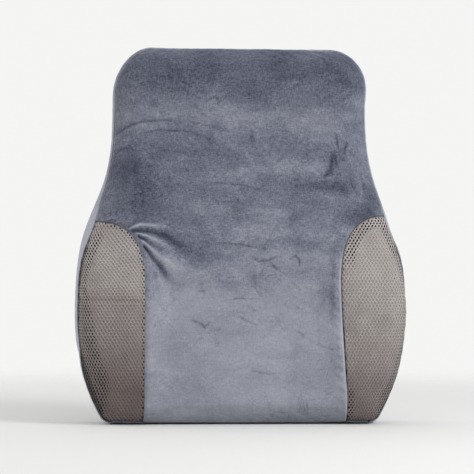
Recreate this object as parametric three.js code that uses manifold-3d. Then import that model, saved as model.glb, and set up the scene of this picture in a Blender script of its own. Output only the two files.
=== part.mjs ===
// Lumbar support cushion: a moulded foam core in a liner, inside a sewn cover of velvet panels and two
// spacer-mesh wings, with a coil zip across the back and two chair straps with side-release buckles.
// Millimetres, +Z up. The front faces -Y and the back lies in one plane facing +Y.
// The origin is the middle of the whole object's box, on the surface it stands on. Everything is drawn
// with the back plane at y = 0 and moved into place at the end.

import * as THREE from "three";
import { mergeVertices } from "three/addons/utils/BufferGeometryUtils.js";
import Module from "manifold-3d";

const wasm = await Module();
wasm.setup();

// ---- Driving dimensions ----------------------------------------------------------------------------

const HEIGHT = 480;
const BACK_Y = 49.55; // the back plane, behind the middle of the whole object's depth
const HIP = { halfWidth: 211, z: 158 }; // the widest level
const NECK_HALF_WIDTH = 162.8;
const SHOULDER = { z: 274.5, spread: 28.5 }; // where the sides swing from hip to neck, and how gently
const FOOT_TUCK = 38; // how far the sides come in from the hip to the foot
const FOOT_POWER = 2.5;
const FOOT_CORNER_Z = 10; // where the foot's round corner meets the side
const TOP_CORNER = { across: 50, up: 66 };

const LUMBAR = { thickness: 94, z: 140 }; // the thickest level on the centre line
const TOP_THICKNESS = 50;
const TOP_THICKNESS_Z = 430;
const FOOT_THINNING = 8;
const FRONT_CROWN = 18; // from the front seam to the face
const BACK_CROWN = 12; // from the back seam to the back plane
const FRONT_ROUND = { side: 30, top: 26, foot: 22 }; // how far in from the seam the face flattens
const BACK_ROUND = 24;
const WING = { lift: 15, from: 90, to: 150, footZ: 70, fallZ: 165, endZ: 275 }; // side bolsters
const SEAM_INSET = { hip: 2, neck: 3, from: 170, to: 330, back: 8 }; // seam to widest line
const FLARE = { z: 250, spread: 32, inset: 5, round: 44, most: 0.85 }; // gussets open out to the back

const MESH_PANEL = { inner: 122, arcZ: 170, arcAcross: 64, arcUp: 96, arcPower: 2.6, arcSteps: 9 };

const COVER = 1.8; // cloth thickness
const LINER = { outer: 2.2, inner: 3.0 };
const CORE_DEPTH = 3.4;
const GAP = 0.4; // between neighbouring pieces

const COLUMNS = 14;
const FOOT_CORNER_ROWS = 2;
const SIDE_ROWS = 15;
const SIDE_GRADING = 1.25; // rows sit closer together near the foot
const TOP_CORNER_ROWS = 4;
const BAND_ROUND = { width: 11, most: 0.4 }; // rounded edge of a gusset, and its largest share of the band

const ZIP = {
  z: 60, chain: 288, opening: 300, slot: 12, tapeWidth: 12.4, tapeLength: 314, tape: 0.6,
  coilWidth: 2.3, coil: 1.6, split: 1.4, stop: 3.5,
};
const TAPE_Y = -2.65; // inner face of the tape, from the back plane
const COIL_Y = -1.75;
const CHANNEL = { length: 324, width: 29, depth: 5.2 }; // room for the zip in liner and foam

const STRAP = { width: 25, thickness: 1.5, lift: 0.55, sewnTail: 24, freeTail: 78 };
const STRAP_LEVELS = { upper: 365, lower: 150 };
const BUCKLE = { socket: 34, base: 20, width: 33, height: 9.4, lift: 0.5, arm: 22.5, bar: 4.2 };
const LABEL = { x: -114, width: 22, z: 22, height: 31.5, thickness: 0.5 };

// ---- Materials -------------------------------------------------------------------------------------

const finish = (color, roughness, metalness = 0) =>
  new THREE.MeshStandardMaterial({ color, roughness, metalness });
const MATERIALS = {
  velvet: finish(0x7a7d8c, 0.85),
  mesh: finish(0x8e8783, 0.8),
  foam: finish(0xe9e2cf, 0.95),
  liner: finish(0xcfcac0, 0.9),
  tape: finish(0x5c5f6c, 0.85),
  coil: finish(0x4d505c, 0.45),
  zinc: finish(0x6d6f76, 0.35, 0.9),
  webbing: finish(0x1c1d20, 0.8),
  plastic: finish(0x141416, 0.45),
  label: finish(0xe8e8e6, 0.6),
};

const cushion = new THREE.Group();

function add(name, geometry, material) {
  const mesh = new THREE.Mesh(geometry, MATERIALS[material]);
  mesh.name = name;
  cushion.add(mesh);
  return mesh;
}

// ---- Solids ----------------------------------------------------------------------------------------

function solid(geometry) {
  const bare = new THREE.BufferGeometry();
  bare.setAttribute("position", geometry.getAttribute("position"));
  bare.setIndex(geometry.index);
  const merged = mergeVertices(bare, 1e-3);
  return new wasm.Manifold(
    new wasm.Mesh({
      numProp: 3,
      vertProperties: new Float32Array(merged.attributes.position.array),
      triVerts: new Uint32Array(merged.index.array),
    }),
  );
}

function geometryOf(manifold) {
  const { vertProperties, triVerts } = manifold.getMesh();
  const geometry = new THREE.BufferGeometry();
  geometry.setAttribute("position", new THREE.BufferAttribute(vertProperties, 3));
  geometry.setIndex(new THREE.BufferAttribute(triVerts, 1));
  geometry.computeVertexNormals();
  return geometry;
}

// A block given by its lowest and highest corner.
function block([x0, y0, z0], [x1, y1, z1]) {
  const geometry = new THREE.BoxGeometry(x1 - x0, y1 - y0, z1 - z0);
  return solid(geometry.translate((x0 + x1) / 2, (y0 + y1) / 2, (z0 + z1) / 2));
}

// An outline drawn in X and Z, made solid from y0 to y1.
function plate(shape, y0, y1, curveSegments = 5) {
  const geometry = new THREE.ExtrudeGeometry(shape, { depth: y1 - y0, bevelEnabled: false, curveSegments });
  return solid(geometry.rotateX(Math.PI / 2).translate(0, y1, 0));
}

function roundedRectangle(x0, z0, x1, z1, r) {
  const shape = new THREE.Shape();
  shape.moveTo(x0 + r, z0);
  shape.lineTo(x1 - r, z0);
  shape.absarc(x1 - r, z0 + r, r, -Math.PI / 2, 0);
  shape.lineTo(x1, z1 - r);
  shape.absarc(x1 - r, z1 - r, r, 0, Math.PI / 2);
  shape.lineTo(x0 + r, z1);
  shape.absarc(x0 + r, z1 - r, r, Math.PI / 2, Math.PI);
  shape.lineTo(x0, z0 + r);
  shape.absarc(x0 + r, z0 + r, r, Math.PI, Math.PI * 1.5);
  return shape;
}

const joined = (...pieces) => pieces.reduce((a, b) => a.add(b));

// ---- The cushion's surface -------------------------------------------------------------------------

const clamp = (t) => Math.min(Math.max(t, 0), 1);
const lerp = THREE.MathUtils.lerp;
const smooth = (t) => THREE.MathUtils.smoothstep(t, 0, 1);
const smoother = (t) => THREE.MathUtils.smootherstep(t, 0, 1);
const roundOver = (t) => Math.sqrt(1 - (1 - clamp(t)) ** 2); // a quarter circle, 0 to 1

function halfWidth(z) {
  const below = 1 / (1 + Math.exp((z - SHOULDER.z) / SHOULDER.spread));
  const tuck = FOOT_TUCK * (Math.max(HIP.z - z, 0) / HIP.z) ** FOOT_POWER;
  return lerp(NECK_HALF_WIDTH, HIP.halfWidth, below) - tuck;
}

function thickness(z) {
  if (z < LUMBAR.z) return LUMBAR.thickness - FOOT_THINNING * ((LUMBAR.z - z) / LUMBAR.z) ** 2;
  const rise = smoother((z - LUMBAR.z) / (TOP_THICKNESS_Z - LUMBAR.z));
  return lerp(LUMBAR.thickness, TOP_THICKNESS, rise);
}

function wingLift(x, z) {
  const across = smooth((Math.abs(x) - WING.from) / (WING.to - WING.from));
  const up = smooth(z / WING.footZ) * (1 - smooth((z - WING.fallZ) / (WING.endZ - WING.fallZ)));
  return WING.lift * across * up;
}

const frontSeamY = (z) => FRONT_CROWN - thickness(z);
const flare = (z) => Math.exp(-(((z - FLARE.z) / FLARE.spread) ** 2));
const frontInset = (z) => {
  const up = smooth((z - SEAM_INSET.from) / (SEAM_INSET.to - SEAM_INSET.from));
  return lerp(SEAM_INSET.hip, SEAM_INSET.neck, up) + FLARE.inset * flare(z);
};

// The widest line of the right-hand side from the foot to the top, each point with its outward normal.
function sideLine() {
  const slope = (halfWidth(FOOT_CORNER_Z + 1) - halfWidth(FOOT_CORNER_Z - 1)) / 2;
  const lean = Math.atan(slope);
  const footRadius = FOOT_CORNER_Z / (1 - Math.sin(lean));
  const footX = halfWidth(FOOT_CORNER_Z) - footRadius * Math.cos(lean);
  const points = [];
  for (let k = 0; k < FOOT_CORNER_ROWS; k++) {
    const a = lerp(-Math.PI / 2, -lean, k / FOOT_CORNER_ROWS);
    const [nx, nz] = [Math.cos(a), Math.sin(a)];
    points.push({ x: footX + footRadius * nx, z: footRadius * (1 + nz), nx, nz });
  }
  const cornerZ = HEIGHT - TOP_CORNER.up;
  for (let k = 0; k < SIDE_ROWS; k++) {
    const z = lerp(FOOT_CORNER_Z, cornerZ, (k / SIDE_ROWS) ** SIDE_GRADING);
    const run = (halfWidth(z + 1) - halfWidth(z - 1)) / 2;
    const length = Math.hypot(1, run);
    points.push({ x: halfWidth(z), z, nx: 1 / length, nz: -run / length });
  }
  for (let k = 0; k <= TOP_CORNER_ROWS; k++) {
    const a = (k / TOP_CORNER_ROWS) * (Math.PI / 2);
    const x = halfWidth(cornerZ) - TOP_CORNER.across * (1 - Math.cos(a));
    const z = cornerZ + TOP_CORNER.up * Math.sin(a);
    const [nx, nz] = [Math.cos(a) / TOP_CORNER.across, Math.sin(a) / TOP_CORNER.up];
    const length = Math.hypot(nx, nz);
    points.push({ x, z, nx: nx / length, nz: nz / length });
  }
  return points;
}

const SIDE = sideLine();
const ROWS = SIDE.length - 1;
const inward = (p, inset) => ({ x: p.x - p.nx * inset, z: p.z - p.nz * inset });
const FRONT_EDGE = SIDE.map((p) => inward(p, frontInset(p.z)));
const BACK_EDGE = SIDE.map((p) => inward(p, SEAM_INSET.back));

function faceRound(x, z, edge, edges, round) {
  const side = roundOver((edge.x - Math.abs(x)) / round.side);
  const top = roundOver((edges[ROWS].z - z) / round.top);
  const foot = roundOver((z - edges[0].z) / round.foot);
  return side * top * foot;
}

// The closed outer surface as one list of points and four-sided faces. Each face is tagged with its panel.
function outerSurface() {
  const points = [];
  const faces = [];
  const put = (x, y, z) => points.push(new THREE.Vector3(x, y, z)) - 1;
  const across = Array.from({ length: COLUMNS + 1 }, (_, i) =>
    Math.sin((Math.PI / 2) * ((2 * i) / COLUMNS - 1)),
  );
  const grid = (edges, pointAt) =>
    edges.map((edge) => across.map((u) => put(...pointAt(u * edge.x, edge.z, edge))));

  const backRound = { side: BACK_ROUND, top: BACK_ROUND, foot: BACK_ROUND };
  const front = grid(FRONT_EDGE, (x, z, edge) => {
    const rise = (FRONT_CROWN + wingLift(x, z)) * faceRound(x, z, edge, FRONT_EDGE, FRONT_ROUND);
    return [x, frontSeamY(z) - rise, z];
  });
  const back = grid(BACK_EDGE, (x, z, edge) => {
    return [x, BACK_CROWN * (faceRound(x, z, edge, BACK_EDGE, backRound) - 1), z];
  });
  for (let j = 0; j < ROWS; j++) {
    for (let i = 0; i < COLUMNS; i++) {
      const cell = (g) => [g[j][i], g[j][i + 1], g[j + 1][i + 1], g[j + 1][i]];
      faces.push({ panel: "front", corners: cell(front) });
      faces.push({ panel: "back", corners: cell(back).reverse() });
    }
  }

  // The loop of seam stations: along the foot, up the right side, back along the top, down the left side.
  const loop = [];
  const station = (j, i, side, panel) => loop.push({ j, i, side, panel });
  for (let i = 0; i < COLUMNS; i++) station(0, i, { ...SIDE[0], flip: Math.sign(across[i]) }, "bottom");
  for (let j = 0; j < ROWS; j++) station(j, COLUMNS, { ...SIDE[j], flip: 1 }, "right");
  for (let i = COLUMNS; i > 0; i--) station(ROWS, i, { ...SIDE[ROWS], flip: Math.sign(across[i]) }, "top");
  for (let j = ROWS; j > 0; j--) station(j, 0, { ...SIDE[j], flip: -1 }, "left");
  const bands = loop.map(({ j, i, side }) => {
    const [a, b] = [points[front[j][i]], points[back[j][i]]];
    const open = flare(side.z);
    const round = Math.min(BAND_ROUND.width / (b.y - a.y), BAND_ROUND.most);
    const frontRound = lerp(round, Math.min(FLARE.round / (b.y - a.y), FLARE.most), open);
    const rearRound = Math.min(round, 0.97 - frontRound);
    const bulged = (end, v, out) =>
      put(end.x + side.flip * side.nx * out, lerp(a.y, b.y, v), end.z + side.nz * out);
    const shares = [0.3, 1];
    const opened = (t) => frontInset(side.z) * lerp(roundOver(t), t, open);
    return [
      front[j][i],
      ...shares.map((t) => bulged(a, t * frontRound, opened(t))),
      ...shares.toReversed().map((t) => bulged(b, 1 - t * rearRound, SEAM_INSET.back * roundOver(t))),
      back[j][i],
    ];
  });
  loop.forEach(({ panel }, k) => {
    const [here, next] = [bands[k], bands[(k + 1) % loop.length]];
    for (let v = 0; v < here.length - 1; v++)
      faces.push({ panel, corners: [here[v], here[v + 1], next[v + 1], next[v]] });
  });
  return { points, faces };
}

const SURFACE = outerSurface();
const NORMALS = SURFACE.points.map(() => new THREE.Vector3());
for (const { corners } of SURFACE.faces) {
  const [a, b, c, d] = corners.map((i) => SURFACE.points[i]);
  const facing = new THREE.Vector3().crossVectors(c.clone().sub(a), d.clone().sub(b)).normalize();
  corners.forEach((i) => NORMALS[i].add(facing));
}
NORMALS.forEach((normal) => normal.normalize());

const sunk = (i, depth) => SURFACE.points[i].clone().addScaledVector(NORMALS[i], -depth);
const meanOf = (list) => list.reduce((sum, p) => sum.add(p), new THREE.Vector3()).divideScalar(list.length);
const flat = (list) => new Float32Array(list.flatMap((p) => [p.x, p.y, p.z]));

function indexed(points, triangles) {
  const geometry = new THREE.BufferGeometry();
  geometry.setAttribute("position", new THREE.BufferAttribute(flat(points), 3));
  geometry.setIndex(triangles);
  geometry.computeVertexNormals();
  return geometry;
}

// The whole body, sunk by depth below the outer surface.
function body(depth) {
  const triangles = SURFACE.faces.flatMap(({ corners: [a, b, c, d] }) => [a, b, c, a, c, d]);
  return indexed(SURFACE.points.map((_, i) => sunk(i, depth)), triangles);
}

// One cover panel as a closed sheet of cloth, with its edges drawn in by half a gap.
function panelSheet(panel, outer = 0, inner = COVER) {
  const faces = SURFACE.faces.filter((face) => face.panel === panel);
  const order = new Map();
  const edges = new Map();
  const middles = new Map();
  for (const { corners } of faces) {
    const middle = meanOf(corners.map((i) => SURFACE.points[i]));
    corners.forEach((a, k) => {
      const b = corners[(k + 1) % 4];
      if (!order.has(a)) order.set(a, order.size);
      edges.set(`${a},${b}`, [a, b]);
      middles.set(a, [...(middles.get(a) ?? []), middle]);
    });
  }
  const rim = [...edges.values()].filter(([a, b]) => !edges.has(`${b},${a}`));
  const draw = new Map();
  for (const i of new Set(rim.flat())) {
    draw.set(i, meanOf(middles.get(i)).sub(SURFACE.points[i]).setLength(GAP / 2));
  }
  const count = order.size;
  const layer = (depth) =>
    [...order.keys()].map((i) => sunk(i, depth).add(draw.get(i) ?? new THREE.Vector3()));
  const at = (i) => order.get(i);
  const triangles = faces.flatMap(({ corners }) => {
    const [a, b, c, d] = corners.map(at);
    const under = [a, b, c, d].map((i) => i + count);
    return [a, b, c, a, c, d, under[0], under[2], under[1], under[0], under[3], under[2]];
  });
  for (const [a, b] of rim) {
    const [p, q] = [at(a), at(b)];
    triangles.push(q, p, p + count, q, p + count, q + count);
  }
  return indexed([...layer(outer), ...layer(inner)], triangles);
}

// ---- Foam, liner and cover -------------------------------------------------------------------------

function addBody() {
  const channel = block(
    [-CHANNEL.length / 2, -CHANNEL.depth, ZIP.z - CHANNEL.width / 2],
    [CHANNEL.length / 2, 1, ZIP.z + CHANNEL.width / 2],
  );
  const core = solid(body(CORE_DEPTH)).subtract(channel);
  const liner = solid(body(LINER.outer)).subtract(solid(body(LINER.inner))).subtract(channel);
  add("foam_core", geometryOf(core), "foam");
  add("inner_liner", geometryOf(liner), "liner");
}

// The region of a mesh wing as a deep prism on the right-hand side. grow widens it on every free edge.
function wingPrism(grow) {
  const { inner, arcZ, arcAcross, arcUp, arcPower, arcSteps } = MESH_PANEL;
  const reach = HIP.halfWidth + 20;
  const shape = new THREE.Shape();
  shape.moveTo(reach, -5);
  shape.lineTo(inner - grow, -5);
  for (let k = 0; k <= arcSteps; k++) {
    const a = (k / arcSteps) * (Math.PI / 2);
    const across = (arcAcross + grow) * Math.cos(a) ** (2 / arcPower);
    shape.lineTo(inner + arcAcross - across, arcZ + (arcUp + grow) * Math.sin(a) ** (2 / arcPower));
  }
  shape.lineTo(reach, arcZ + arcUp + grow);
  return plate(shape, -LUMBAR.thickness - WING.lift - 20, 0);
}

function addCover() {
  const face = solid(panelSheet("front"));
  const [wing, cut] = [wingPrism(-GAP / 2), wingPrism(GAP / 2)];
  const mirrored = (piece) => piece.mirror([1, 0, 0]);
  add("front_panel", geometryOf(face.subtract(cut).subtract(mirrored(cut))), "velvet");
  add("mesh_wing_right", geometryOf(face.intersect(wing)), "mesh");
  add("mesh_wing_left", geometryOf(face.intersect(mirrored(wing))), "mesh");
  for (const side of ["top", "left", "right", "bottom"]) add(`gusset_${side}`, panelSheet(side), "velvet");

  const back = solid(panelSheet("back"));
  const reach = HIP.halfWidth + 20;
  const opening = block(
    [-ZIP.opening / 2, -20, ZIP.z - ZIP.slot / 2],
    [ZIP.opening / 2, 5, ZIP.z + ZIP.slot / 2],
  );
  const below = block([-reach, -40, -5], [reach, 5, ZIP.z - GAP / 2]);
  const above = block([-reach, -40, ZIP.z + GAP / 2], [reach, 5, HEIGHT + 5]);
  add("back_panel_upper", geometryOf(back.intersect(above).subtract(opening)), "velvet");
  add("back_panel_lower", geometryOf(back.intersect(below).subtract(opening)), "velvet");
}

// ---- Zip -------------------------------------------------------------------------------------------

function addZip() {
  const near = ZIP.split / 2;
  for (const [name, side] of [["upper", 1], ["lower", -1]]) {
    const strip = (x, y0, y1, z0, z1) => {
      const [low, high] = side > 0 ? [z0, z1] : [-z1, -z0];
      return geometryOf(block([-x, y0, ZIP.z + low], [x, y1, ZIP.z + high]));
    };
    const tape = strip(ZIP.tapeLength / 2, TAPE_Y, TAPE_Y + ZIP.tape, near, near + ZIP.tapeWidth);
    const coil = strip(ZIP.chain / 2, COIL_Y, COIL_Y + ZIP.coil, near, near + ZIP.coilWidth);
    add(`zip_tape_${name}`, tape, "tape");
    add(`zip_coil_${name}`, coil, "coil");
  }
  for (const [name, side] of [["left", -1], ["right", 1]]) {
    const start = ZIP.chain / 2 + GAP;
    const shape = roundedRectangle(start, ZIP.z - 3.2, start + ZIP.stop, ZIP.z + 3.2, 1);
    const stop = plate(shape, COIL_Y, 0, 3);
    add(`zip_stop_${name}`, geometryOf(side > 0 ? stop : stop.mirror([1, 0, 0])), "zinc");
  }
}

// Slider and pull tab are drawn round the slider's own centre and stand at the chain's closed end.
const SLIDER = { halfLength: 6, halfWidth: 5, top: [0.2, 1.6], under: [-4.0, -3.0], web: 0.35 };
const SLIDER_HOME = ZIP.chain / 2 - SLIDER.halfLength - 2.5;
const BAIL = { reach: 3.5, post: 1.5, halfWidth: 1, top: 4.6, inside: 3.4 };
const PULL = { axisY: 2.5, pin: 0.7, half: 0.6, eyeEnd: 5, length: 27, eyeHalfWidth: 1.8, halfWidth: 3.6 };

function addSlider() {
  const { halfLength: l, halfWidth: w, top, under, web } = SLIDER;
  const body = joined(
    plate(roundedRectangle(-l, -w, l, w, 2), top[0], top[1]),
    block([1 - l, -2 + GAP, w - 1.1], [l - 1, top[0] + 0.1, w]),
    block([1 - l, -2 + GAP, -w], [l - 1, top[0] + 0.1, 1.1 - w]),
    block([2 - l, under[1] - 0.1, -web], [l - 2, top[0] + 0.1, web]),
    plate(roundedRectangle(0.5 - l, 0.4 - w, l - 0.5, w - 0.4, 2), under[0], under[1]),
    block([-BAIL.reach, top[1] - 0.1, -BAIL.halfWidth], [BAIL.reach, BAIL.top, BAIL.halfWidth]),
  ).subtract(
    block([BAIL.post - BAIL.reach, top[1], -5], [BAIL.reach - BAIL.post, BAIL.inside, 5]),
  );
  add("zip_slider", geometryOf(body), "zinc").position.set(SLIDER_HOME, 0, ZIP.z);
}

function addPull() {
  const { axisY, pin, half, eyeEnd, length, eyeHalfWidth, halfWidth: w } = PULL;
  const outline = roundedRectangle(-0.5, -w, length, w, 1.6);
  const eye = block([pin, axisY - 2, -eyeHalfWidth], [eyeEnd, axisY + 2, eyeHalfWidth]);
  const notch = block([-2, axisY - 2, -eyeHalfWidth], [pin + 0.1, axisY + 2, eyeHalfWidth]);
  const crossbar = new THREE.CylinderGeometry(pin, pin, 2 * w - 2, 12);
  crossbar.rotateX(Math.PI / 2).translate(0, axisY, 0);
  const hole = new THREE.CylinderGeometry(1.3, 1.3, 4, 16).translate(length - 4.2, axisY, 0);
  const tab = plate(outline, axisY - half, axisY + half).subtract(eye).subtract(notch).subtract(solid(hole));
  add("zip_pull", geometryOf(tab.add(solid(crossbar))), "zinc").position.set(SLIDER_HOME, 0, ZIP.z);
}

// ---- Straps and buckles ----------------------------------------------------------------------------

// Web of constant thickness along a centre line drawn in X and Y, standing STRAP.width tall.
function ribbon(path, divisions) {
  const line = path.getPoints(divisions).filter((p, k, all) => k === 0 || p.distanceTo(all[k - 1]) > 0.05);
  const half = STRAP.thickness / 2;
  const side = (sign) =>
    line.map((p, k) => {
      const before = line[Math.max(k - 1, 0)];
      const after = line[Math.min(k + 1, line.length - 1)];
      const along = after.clone().sub(before).normalize();
      return new THREE.Vector2(p.x - sign * half * along.y, p.y + sign * half * along.x);
    });
  const shape = new THREE.Shape([...side(1), ...side(-1).reverse()]);
  const web = new THREE.ExtrudeGeometry(shape, { depth: STRAP.width, bevelEnabled: false });
  return web.translate(0, 0, -STRAP.width / 2);
}

// The half of a strap on the +X side: out of the back seam, along the back, round a bar whose loop is
// centred on loopX, and back over itself for the length of its tail.
function strapHalf(seamX, loopX, tail) {
  const rest = STRAP.lift + STRAP.thickness / 2;
  const barY = BUCKLE.lift + BUCKLE.height / 2;
  const turn = BUCKLE.bar / 2 + 0.3 + STRAP.thickness / 2;
  const over = rest + STRAP.thickness + GAP;
  const path = new THREE.Path();
  const bendX = seamX - BACK_ROUND;
  path.absellipse(bendX, -BACK_CROWN, BACK_ROUND + rest, BACK_CROWN + rest, Math.PI * 0.06, Math.PI / 2);
  path.lineTo(loopX + 16, rest);
  path.lineTo(loopX + 6, barY - turn);
  path.lineTo(loopX, barY - turn);
  path.absarc(loopX, barY, turn, -Math.PI / 2, Math.PI / 2, true);
  path.lineTo(loopX + 9, barY + turn);
  path.lineTo(loopX + 25, over);
  path.lineTo(loopX + 25 + tail, over);
  return ribbon(path, 7);
}

function socketSolid() {
  const { socket, width, height, lift, bar } = BUCKLE;
  const w = width / 2;
  const [low, high] = [lift, lift + height];
  const middle = (low + high) / 2;
  const cavity = { depth: 25, halfWidth: 13.2, halfHeight: 2.8 };
  const [floor, roof] = [middle - cavity.halfHeight, middle + cavity.halfHeight];
  const shell = plate(roundedRectangle(-socket, -w, 0, w, 4), low, high);
  const around = (y0, y1) => block([-socket - 1, y0, -13.4], [-27.2, y1, 13.4]);
  const cuts = joined(
    block([-cavity.depth, floor, -cavity.halfWidth], [1, roof, cavity.halfWidth]),
    block([-19, floor, -w - 1], [-7, roof, w + 1]),
    block([-31, low - 1, -13.4], [-27.2, high + 1, 13.4]),
    around(low - 1, middle - bar / 2),
    around(middle + bar / 2, high + 1),
  );
  return shell.subtract(cuts);
}

function plugSolid() {
  const { base, width, height, lift, arm, bar } = BUCKLE;
  const w = width / 2;
  const middle = lift + height / 2;
  const head = plate(roundedRectangle(GAP, -w, base, w, 4), middle - 3.5, middle + 3.5);
  const slot = (x0, x1) => block([x0, middle - 6, -13.4], [x1, middle + 6, 13.4]);
  const around = (y0, y1) => block([6, y0, -13.4], [base + 1, y1, 13.4]);
  const frame = head
    .subtract(joined(slot(6, 10.5), slot(13, 16.5)))
    .subtract(joined(around(middle - 6, middle - bar / 2), around(middle + bar / 2, middle + 6)));
  const armShape = new THREE.Shape();
  armShape.moveTo(1, 7.4);
  armShape.lineTo(1, 10.4);
  armShape.lineTo(-11, 10.8);
  armShape.lineTo(-12, 12.8);
  armShape.quadraticCurveTo(-18, 12.6, -arm, 9.4);
  armShape.lineTo(-arm, 7.4);
  const upper = plate(armShape, middle - 2.3, middle + 2.3);
  const guide = plate(roundedRectangle(-arm + 2, -1.9, 3, 1.9, 1.2), middle - 2.3, middle + 2.3, 3);
  return joined(frame, upper, upper.mirror([0, 0, 1]), guide);
}

function addStrap(level, z) {
  const widest = Math.max(halfWidth(z - STRAP.width / 2), halfWidth(z + STRAP.width / 2));
  const seamX = widest - SEAM_INSET.back + GAP;
  const mouth = BUCKLE.socket / 2 - 4;
  const fixed = solid(strapHalf(seamX, BUCKLE.socket - 2.5 - mouth, STRAP.sewnTail)).mirror([1, 0, 0]);
  add(`${level}_strap_fixed`, geometryOf(fixed), "webbing").position.z = z;
  add(`${level}_strap_adjustable`, strapHalf(seamX, mouth + 11, STRAP.freeTail), "webbing").position.z = z;
  add(`${level}_buckle_socket`, geometryOf(socketSolid()), "plastic").position.set(mouth, 0, z);
  add(`${level}_buckle_plug`, geometryOf(plugSolid()), "plastic").position.set(mouth, 0, z);
}

function addLabel() {
  const { x, width, z, height, thickness: t } = LABEL;
  const ribbonPiece = block([x - width / 2, GAP, z], [x + width / 2, GAP + t, z + height]);
  add("care_label", geometryOf(ribbonPiece), "label");
}

addBody();
addCover();
addZip();
addSlider();
addPull();
for (const [level, z] of Object.entries(STRAP_LEVELS)) addStrap(level, z);
addLabel();

cushion.position.y = BACK_Y;

export default cushion;
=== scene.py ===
"""Looks of the lumbar support cushion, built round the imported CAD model.

Shapes are drawn in millimetres with the cushion's back plane at y = 0, as in the CAD source, and put()
turns them into metres in the row frame.
"""

import math
import random

import bmesh
import bpy
import numpy as np
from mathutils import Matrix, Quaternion, Vector, noise
from mathutils.geometry import delaunay_2d_cdt


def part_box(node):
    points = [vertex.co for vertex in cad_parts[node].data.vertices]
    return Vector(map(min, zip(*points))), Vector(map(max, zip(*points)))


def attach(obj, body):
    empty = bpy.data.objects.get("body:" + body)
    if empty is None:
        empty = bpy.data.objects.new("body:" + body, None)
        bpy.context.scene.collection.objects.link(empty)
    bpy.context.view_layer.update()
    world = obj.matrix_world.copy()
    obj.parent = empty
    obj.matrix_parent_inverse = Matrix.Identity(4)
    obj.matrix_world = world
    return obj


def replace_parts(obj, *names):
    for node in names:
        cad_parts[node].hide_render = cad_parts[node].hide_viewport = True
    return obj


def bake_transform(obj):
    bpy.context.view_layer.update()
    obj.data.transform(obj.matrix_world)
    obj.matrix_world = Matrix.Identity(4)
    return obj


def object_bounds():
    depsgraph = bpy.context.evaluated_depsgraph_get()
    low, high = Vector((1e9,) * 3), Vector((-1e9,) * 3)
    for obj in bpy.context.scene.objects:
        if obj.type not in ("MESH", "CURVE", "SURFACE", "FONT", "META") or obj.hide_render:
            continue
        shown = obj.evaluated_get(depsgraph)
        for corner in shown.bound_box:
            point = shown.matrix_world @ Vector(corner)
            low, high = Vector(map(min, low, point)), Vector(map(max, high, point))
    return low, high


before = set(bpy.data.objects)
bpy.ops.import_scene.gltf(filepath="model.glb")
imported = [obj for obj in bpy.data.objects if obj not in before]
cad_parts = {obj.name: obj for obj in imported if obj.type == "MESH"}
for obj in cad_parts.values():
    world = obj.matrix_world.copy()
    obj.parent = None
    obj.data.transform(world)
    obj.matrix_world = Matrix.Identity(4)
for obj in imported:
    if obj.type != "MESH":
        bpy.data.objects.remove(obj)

CAD_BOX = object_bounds()
BACK_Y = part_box("back_panel_upper")[1].y * 1000
HEIGHT = CAD_BOX[1].z * 1000

# ---- The cushion's form, as in the CAD source ------------------------------------------------------

HIP_W, HIP_Z, NECK_W = 211.0, 158.0, 162.8
SHOULDER_Z, SHOULDER_SPREAD = 274.5, 28.5
FOOT_TUCK, FOOT_POWER, FOOT_CORNER_Z = 38.0, 2.5, 10.0
TOP_ACROSS, TOP_UP = 50.0, 66.0
FRONT_CROWN, BACK_CROWN, BACK_ROUND = 18.0, 12.0, 24.0
FRONT_ROUND = (30.0, 26.0, 22.0)  # side, top, foot
DEEP, DEEP_Z, FOOT_LESS, TOP_LESS, THIN_OVER = 94.0, 140.0, 8.0, 44.0, 290.0  # thickness at the seams
WING_RISE = 15.0  # how far the lumbar wings stand out
WING_INNER, WING_ARC_Z, WING_ARC_X, WING_ARC_UP, WING_POWER = 122.0, 170.0, 64.0, 96.0, 2.6
BAND_ROUND, BAND_MOST, BACK_INSET = 11.0, 0.4, 8.0
FLARE_Z, FLARE_SPREAD, FLARE_INSET, FLARE_ROUND, FLARE_MOST = 250.0, 32.0, 5.0, 44.0, 0.85
ZIP_Z = 60.0
FRONT_FOOT = 3.0  # the front seam at the foot
FLOOR_GAP = 0.05
LEFT_DROP = 9.0  # how much lower the left wing's top is sewn
RIGHT_LEAN = 9.2  # how far the right wing's straight seam runs out at the foot
LEFT_ROLL, LEFT_TUCK = 2.6, 3.8  # how far the left wing rolls out, and its gusset tucks in, at the foot
LAP = 2.3  # how far the velvet laps over the mesh where it does
FULL_CORNER = 5.5  # how much fuller the top right corner is
SKY_LOW, SKY_HIGH, KEY_WATTS = 0.42, 1.0, 24.0
FLOOR_REACH, WALL_WATTS = 1.5, 7.0
LINER_DEPTH = 7.0  # below the cover's outer face, clear of its deepest folds
VELVET_THICK = 1.6
STRAP_Z = {"upper": 365.0, "lower": 150.0}


def smooth(t):
    t = np.clip(t, 0, 1)
    return t * t * (3 - 2 * t)


def smoother(t):
    t = np.clip(t, 0, 1)
    return t**3 * (t * (6 * t - 15) + 10)


def round_over(t):
    return np.sqrt(1 - (1 - np.clip(t, 0, 1)) ** 2)


def unit(v):
    """Vectors along the last axis, brought to length 1."""
    return v / np.maximum(np.linalg.norm(v, axis=-1, keepdims=True), 1e-9)


def half_width(z):
    below = 1 / (1 + np.exp((z - SHOULDER_Z) / SHOULDER_SPREAD))
    tuck = FOOT_TUCK * (np.clip(HIP_Z - z, 0, None) / HIP_Z) ** FOOT_POWER
    return NECK_W + (HIP_W - NECK_W) * below - tuck


def thickness(z):
    low = DEEP - FOOT_LESS * (np.clip(DEEP_Z - z, 0, None) / DEEP_Z) ** 2
    return np.where(z < DEEP_Z, low, DEEP - TOP_LESS * smoother((z - DEEP_Z) / THIN_OVER))


def wing_lift(x, z):
    across = smooth((np.abs(x) - 90) / 60)
    return WING_RISE * across * smooth(z / 70) * (1 - smooth((z - 165) / 110))


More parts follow.
